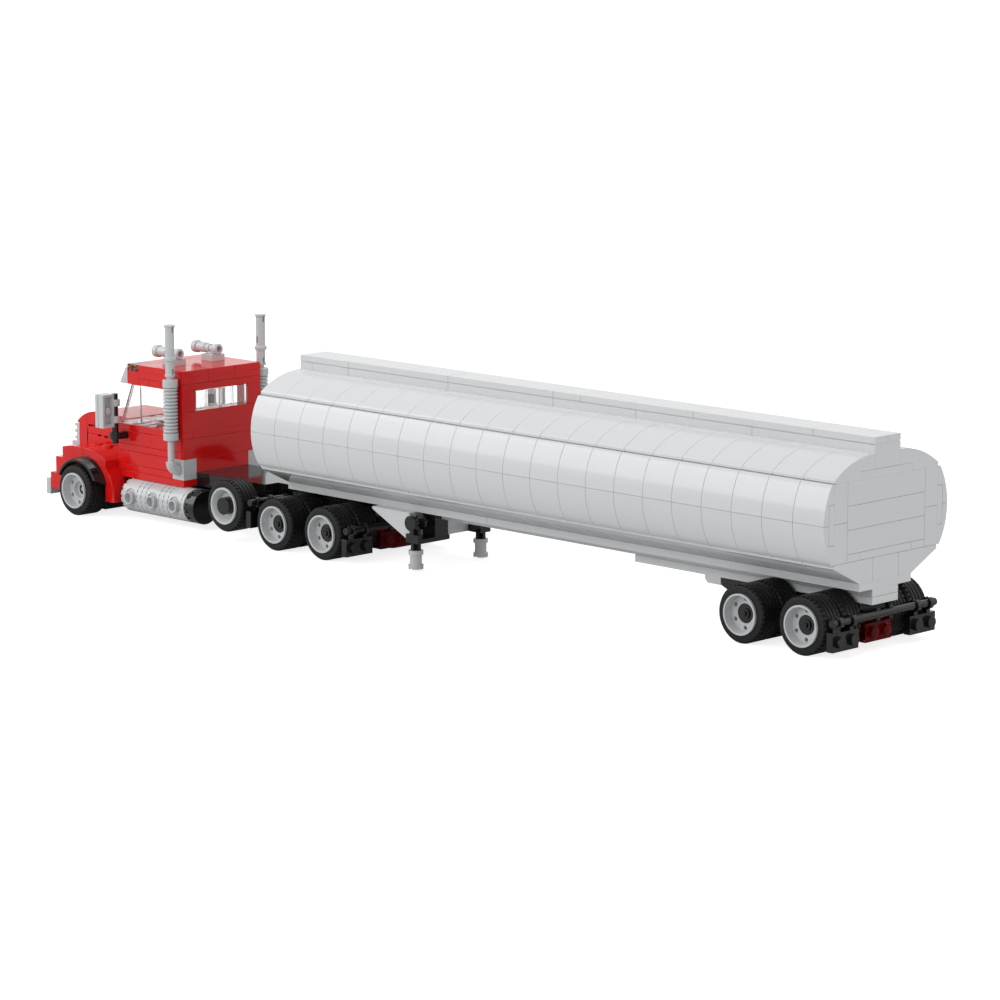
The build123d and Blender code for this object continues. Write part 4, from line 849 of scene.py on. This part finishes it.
# Windscreen: back edge of the side panes, foot and head of the sloping pane
SCREEN_BACK, SCREEN_FOOT, SCREEN_HEAD = along(50) + 31, along(56) - 2.4, along(50) + 37.2
SCREEN_SIDE = 23.9
SCREEN_LOW, SCREEN_HIGH = height(6) + TOUCH, height(12) - TOUCH
SCREEN_MIDDLE = height(9)
SCREEN_WAIST = SCREEN_BACK + 5  # between a side pane's upright edge and its sloping one
SIDE_PANE = 1.0
FRONT_PANE = 1.4
PANE_GAP = 0.1
SILL_T = 1.0
SILL_STUDS = 5
PANE_BREAK = 0.12
# The clear pad behind each side pane
PAD_L, PAD_T, PAD_IN = 6.9, 1.5, 16.1


def build_windscreen():
    """A sloping clear pane between two side panes, on a sill with studs."""
    low, high = SCREEN_LOW, SCREEN_HIGH
    lean = ((SCREEN_HEAD - SCREEN_FOOT) * MM, 0, 0)
    inner = SCREEN_SIDE - SIDE_PANE
    behind = SCREEN_FOOT - FRONT_PANE
    bm = bmesh.new()
    front = add_block(bm, (behind, -SCREEN_SIDE, low), (SCREEN_FOOT, SCREEN_SIDE, high))
    head = [v for v in front if v.co.z > SCREEN_MIDDLE * MM]
    bmesh.ops.translate(bm, verts=head, vec=lean)
    for side in SIDES:
        y0, y1 = span(side, inner, SCREEN_SIDE)
        pane = add_block(bm, (SCREEN_BACK, y0, low), (behind - PANE_GAP, y1, high))
        upper = [v for v in pane if v.co.z > SCREEN_MIDDLE * MM]
        head = [v for v in upper if v.co.x > SCREEN_WAIST * MM]
        bmesh.ops.translate(bm, verts=head, vec=lean)
        y0, y1 = span(side, PAD_IN, SCREEN_SIDE)
        add_block(bm, (SCREEN_BACK - PAD_L, y0, low), (SCREEN_BACK - PANE_GAP, y1, low + PAD_T))
    edge = inner - PANE_GAP
    add_block(bm, (SCREEN_BACK, -edge, low), (behind - 2 * PANE_GAP, edge, low + SILL_T))
    for n in range(SILL_STUDS):
        foot = (SCREEN_WAIST, STUD * (n - SILL_STUDS // 2), low + SILL_T + TOUCH)
        add_rod(bm, foot, STUD_R, STUD_H, axis="Z", steps=24)
    round_off(bm, PANE_BREAK)
    settle(bm, "windscreen_panes", "clear", "tractor", ["windscreen"])


# Fuel tank: centre line, radius, ends and the joints between its bricks
FUEL_Y, FUEL_Z, FUEL_R = 22.4, FRAME_UNDERSIDE - 14.4, 7.9
FUEL_BACK, FUEL_FRONT = along(49) + 1.3, along(55) - 3.3
FUEL_SECTIONS = 3
SLEEVE_ENDS = [along(49) + 2 * STUD * n + off for n in range(FUEL_SECTIONS) for off in (3.2, 12.8)]
FUEL_JOINTS = [
    joint
    for joint in sorted([along(51), along(53), *SLEEVE_ENDS])
    if FUEL_BACK + 1 < joint < FUEL_FRONT - 1
]
JOINT_HALF, JOINT_DEPTH = 0.12, 0.35
NOTCHES = 20
NOTCH_HALF, NOTCH_WIDE_HALF = 0.3, 0.6
NOTCH_FLOOR = FUEL_R - 0.5
NOSE_R = 7.3
NOSE_T = 2.0
NOSE_OVERLAP = 0.1
TEETH = 14
TOOTH_HALF = 1.1
TOOTH_FOOT, TOOTH_TOP = 6.7, FUEL_R - 0.1
POCKET_FLOOR = 28.2
POCKET_R = 4.25
POCKET_DEPTH = 4.0
BOSS_BREAK = 0.08
# Boss outline outwards from the pocket's floor: distance, radius
BOSS = (
    (0.0, 0.0),
    (0.0, 4.05),
    (1.0, 4.05),
    (1.0, 3.05),
    (3.4, 3.05),
    (3.4, 2.35),
    (0.6, 2.35),
    (0.6, 0.0),
)


def build_fuel_tanks():
    """Round tanks with joints between their bricks, toothed noses and hollow bosses."""
    outline = [(FUEL_BACK, 0.0), (FUEL_BACK, FUEL_R)]
    for joint in FUEL_JOINTS:
        floor = (joint, FUEL_R - JOINT_DEPTH)
        outline += [(joint - JOINT_HALF, FUEL_R), floor, (joint + JOINT_HALF, FUEL_R)]
    outline += [(FUEL_FRONT, FUEL_R), (FUEL_FRONT, 0.0)]
    nose_back, nose_front = FUEL_FRONT - NOSE_OVERLAP, FUEL_FRONT + NOSE_T
    nose = ((nose_back, 0.0), (nose_back, NOSE_R), (nose_front, NOSE_R), (nose_front, 0.0))
    body, pockets, notches, bosses = (bmesh.new() for _ in range(4))
    for side in SIDES:
        line = (side * FUEL_Y, FUEL_Z)
        add_turned(body, outline, (0, *line), "X", steps=72)
        add_turned(bosses, nose, (0, *line), "X", steps=48)
        foot, tip = (nose_back, -TOOTH_HALF, TOOTH_FOOT), (nose_front, TOOTH_HALF, TOOTH_TOP)
        add_ring_of_blocks(bosses, TEETH, foot, tip, line)
        for n in range(FUEL_SECTIONS):
            floor = (along(50) + 2 * STUD * n, side * POCKET_FLOOR, FUEL_Z)
            add_rod(pockets, floor, POCKET_R, side * POCKET_DEPTH, steps=48)
            add_turned(bosses, [(side * reach, radius) for reach, radius in BOSS], floor, "Y", steps=40)
        for joint in FUEL_JOINTS:
            low = (joint - NOTCH_HALF, -NOTCH_WIDE_HALF, NOTCH_FLOOR)
            high = (joint + NOTCH_HALF, NOTCH_WIDE_HALF, FUEL_R + OVERSHOOT)
            add_ring_of_blocks(notches, NOTCHES, low, high, line, shift=0.5)
    shell = put_in_scene(body, "fuel_tank_blank")
    blades = [put_in_scene(pockets, "boss_pockets"), put_in_scene(notches, "joint_notches")]
    cut_away(shell, blades)
    bm = shape_of(shell, bpy.context.evaluated_depsgraph_get())
    settle(bm, "fuel_tank_sections", "mid_grey", "tractor", ["fuel_tanks"])
    round_off(bosses, BOSS_BREAK)
    settle(bosses, "fuel_tank_bosses", "mid_grey", "tractor")
    discard([shell, *blades])


GLASS_GAP = 0.1
GLASS_WALL = 1.2
GLASS_DEPTH = 3.0
GLASS_PIN_R = 0.75
GLASS_PIN_INSET = 2.05
GLASS_BREAK = 0.15


def build_rear_window():
    """Clear bricks in the rear window: thin walls, dividing ribs and the pins between studs."""
    low, high = height(9) + GLASS_GAP, height(12) - GLASS_GAP
    face, back = along(50) + GLASS_GAP, along(50) + GLASS_DEPTH
    half = GLASS_WALL / 2
    bm = bmesh.new()
    for side in SIDES:
        y0, y1 = span(side, GLASS_GAP, 2 * STUD - GLASS_GAP)
        add_block(bm, (face, y0, low), (face + GLASS_WALL, y1, high))
        for y in (y0 + half, y1 - half):
            add_block(bm, (face + GLASS_WALL + TOUCH, y - half, low), (back, y + half, high))
        foot = (face + GLASS_PIN_INSET, side * STUD, low)
        add_rod(bm, foot, GLASS_PIN_R, high - low, axis="Z", steps=20)
    round_off(bm, GLASS_BREAK)
    settle(bm, "rear_window_bricks", "clear", "tractor", ["rear_window"])


MIRROR_PEG = (along(56) - 6.2, 34.4, height(0) + 26.1)
MIRROR_PEG_R, MIRROR_PEG_L = 1.6, 2.6
ELBOW_PEG_Y, ELBOW_PEG_R, ELBOW_PEG_L = 23.5, 1.9, 1.2
PEG_BREAK = 0.15


def build_pegs():
    """The round peg in the hollow of each mirror and the one that holds each elbow."""
    bm = bmesh.new()
    x, y, z = MIRROR_PEG
    for side in SIDES:
        add_rod(bm, (x, side * y, z), MIRROR_PEG_R, MIRROR_PEG_L, axis="X", steps=24)
        add_rod(bm, (STACK_X, side * ELBOW_PEG_Y, ELBOW_Z), ELBOW_PEG_R, side * ELBOW_PEG_L, steps=24)
    round_off(bm, PEG_BREAK)
    settle(bm, "mirror_and_elbow_pegs", "mid_grey", "tractor")


PIN_FACE = 33.6
PIN_END = ((0.0, 0.0), (0.0, 1.1), (0.7, 1.1), (1.0, 0.8), (1.0, 0.0))


def build_front_pins():
    """The end of the stub axle that shows in each front hub."""
    for side, word in zip(SIDES, ("left", "right")):
        bm = bmesh.new()
        outline = [(side * reach, radius) for reach, radius in PIN_END]
        add_turned(bm, outline, (FRONT_X, side * PIN_FACE, AXLE_Z), "Y", steps=24)
        settle(bm, f"front_{word}_pin_end", "amber", "tractor", finish="tan")


dress_solids()
fit_tyres()
build_horns()
build_stacks()
build_windscreen()
build_fuel_tanks()
build_rear_window()
build_pegs()
build_front_pins()

# ------------------------------------------------ floor and light, in metres
FLOOR_HALF = 12
FLOOR_TONE = 0.6
FLOOR_ROUGHNESS = 0.9
FLOOR_SHOWN = 0.8  # glow added for the camera and through glass
FLOOR_MIRRORED = 0.05  # glow added in reflections
FILL = 0.42
SOFTBOX_AIM = (0, 0, 0.05)
# Softboxes: name, place, aim, width and height, power in watts
SOFTBOXES = (
    ("side_softbox", (-0.1, 1.6, 0.9), SOFTBOX_AIM, (1.6, 0.9), 9),
    ("front_softbox", (1.33, 1.11, 1.0), SOFTBOX_AIM, (1.6, 1.3), 13),
    ("top_softbox", (0.0, -0.2, 1.6), SOFTBOX_AIM, (1.6, 1.0), 8),
    ("rear_softbox", (-1.9, -0.4, 0.3), (-0.2, 0, 0.05), (1.2, 0.5), 7),
)


def for_rays(tree, *kinds):
    """1 for the named kinds of ray and 0 for the others."""
    paths = tree.nodes.new("ShaderNodeLightPath").outputs
    share = paths[f"Is {kinds[0]} Ray"]
    for kind in kinds[1:]:
        share = calculate(tree, "MAXIMUM", share, paths[f"Is {kind} Ray"])
    return share


def build_floor():
    """A pale floor that takes the shadow and shows white to the camera and through glass."""
    bm = bmesh.new()
    bmesh.ops.create_grid(bm, x_segments=1, y_segments=1, size=FLOOR_HALF)
    floor = put_in_scene(bm, "studio_floor")
    finish = bpy.data.materials.new("studio_floor_white")
    finish.use_nodes = True
    tree = finish.node_tree
    shader = tree.nodes["Principled BSDF"].inputs
    shader["Base Color"].default_value = (FLOOR_TONE, FLOOR_TONE, FLOOR_TONE, 1)
    shader["Roughness"].default_value = FLOOR_ROUGHNESS
    shader["Emission Color"].default_value = (1, 1, 1, 1)
    mirrored = calculate(tree, "MULTIPLY", for_rays(tree, "Glossy"), FLOOR_MIRRORED)
    shown = for_rays(tree, "Camera", "Transmission")
    glow = calculate(tree, "MULTIPLY_ADD", shown, FLOOR_SHOWN, mirrored)
    tree.links.new(glow, shader["Emission Strength"])
    floor.data.materials.append(finish)


def build_air():
    """Soft fill from all round; the camera, gloss and glass see it white."""
    world = bpy.data.worlds.new("studio_air")
    bpy.context.scene.world = world
    world.use_nodes = True
    tree = world.node_tree
    fill = tree.nodes["Background"]
    white = tree.nodes.new("ShaderNodeBackground")
    for background, strength in ((fill, FILL), (white, 1.0)):
        background.inputs["Color"].default_value = (1, 1, 1, 1)
        background.inputs["Strength"].default_value = strength
    mix = tree.nodes.new("ShaderNodeMixShader")
    tree.links.new(for_rays(tree, "Camera", "Transmission", "Glossy"), mix.inputs[0])
    tree.links.new(fill.outputs[0], mix.inputs[1])
    tree.links.new(white.outputs[0], mix.inputs[2])
    tree.links.new(mix.outputs[0], tree.nodes["World Output"].inputs["Surface"])


def hang_softbox(name, place, aim, size, power):
    """A rectangular lamp that faces its aim."""
    lamp = bpy.data.lights.new(name, "AREA")
    lamp.shape = "RECTANGLE"
    lamp.size, lamp.size_y = size
    lamp.energy = power
    holder = bpy.data.objects.new(name, lamp)
    home.objects.link(holder)
    holder.location = place
    holder.rotation_euler = (Vector(aim) - Vector(place)).to_track_quat("-Z", "Y").to_euler()


build_floor()
build_air()
for softbox in SOFTBOXES:
    hang_softbox(*softbox)

# ------------------------------------------------------- camera, in metres
CAMERA_PLACE = (-1.17148, 1.14178, 0.31957)
CAMERA_TURN = radians(-45.0)
CAMERA_DIP = radians(-10.05)
LENS = 135.567  # with the sensor's width, in millimetres
SENSOR = 36.0
NEAREST = 0.01

lens = bpy.data.cameras.new("camera")
lens.lens = LENS
lens.sensor_width = SENSOR
lens.clip_start = NEAREST
camera = bpy.data.objects.new("camera", lens)
home.objects.link(camera)
camera.location = CAMERA_PLACE
flat = cos(CAMERA_DIP)
sight = Vector((flat * cos(CAMERA_TURN), flat * sin(CAMERA_TURN), sin(CAMERA_DIP)))
camera.rotation_euler = sight.to_track_quat("-Z", "Y").to_euler()
bpy.context.scene.camera = camera

bpy.context.scene.view_settings.view_transform = "Standard"
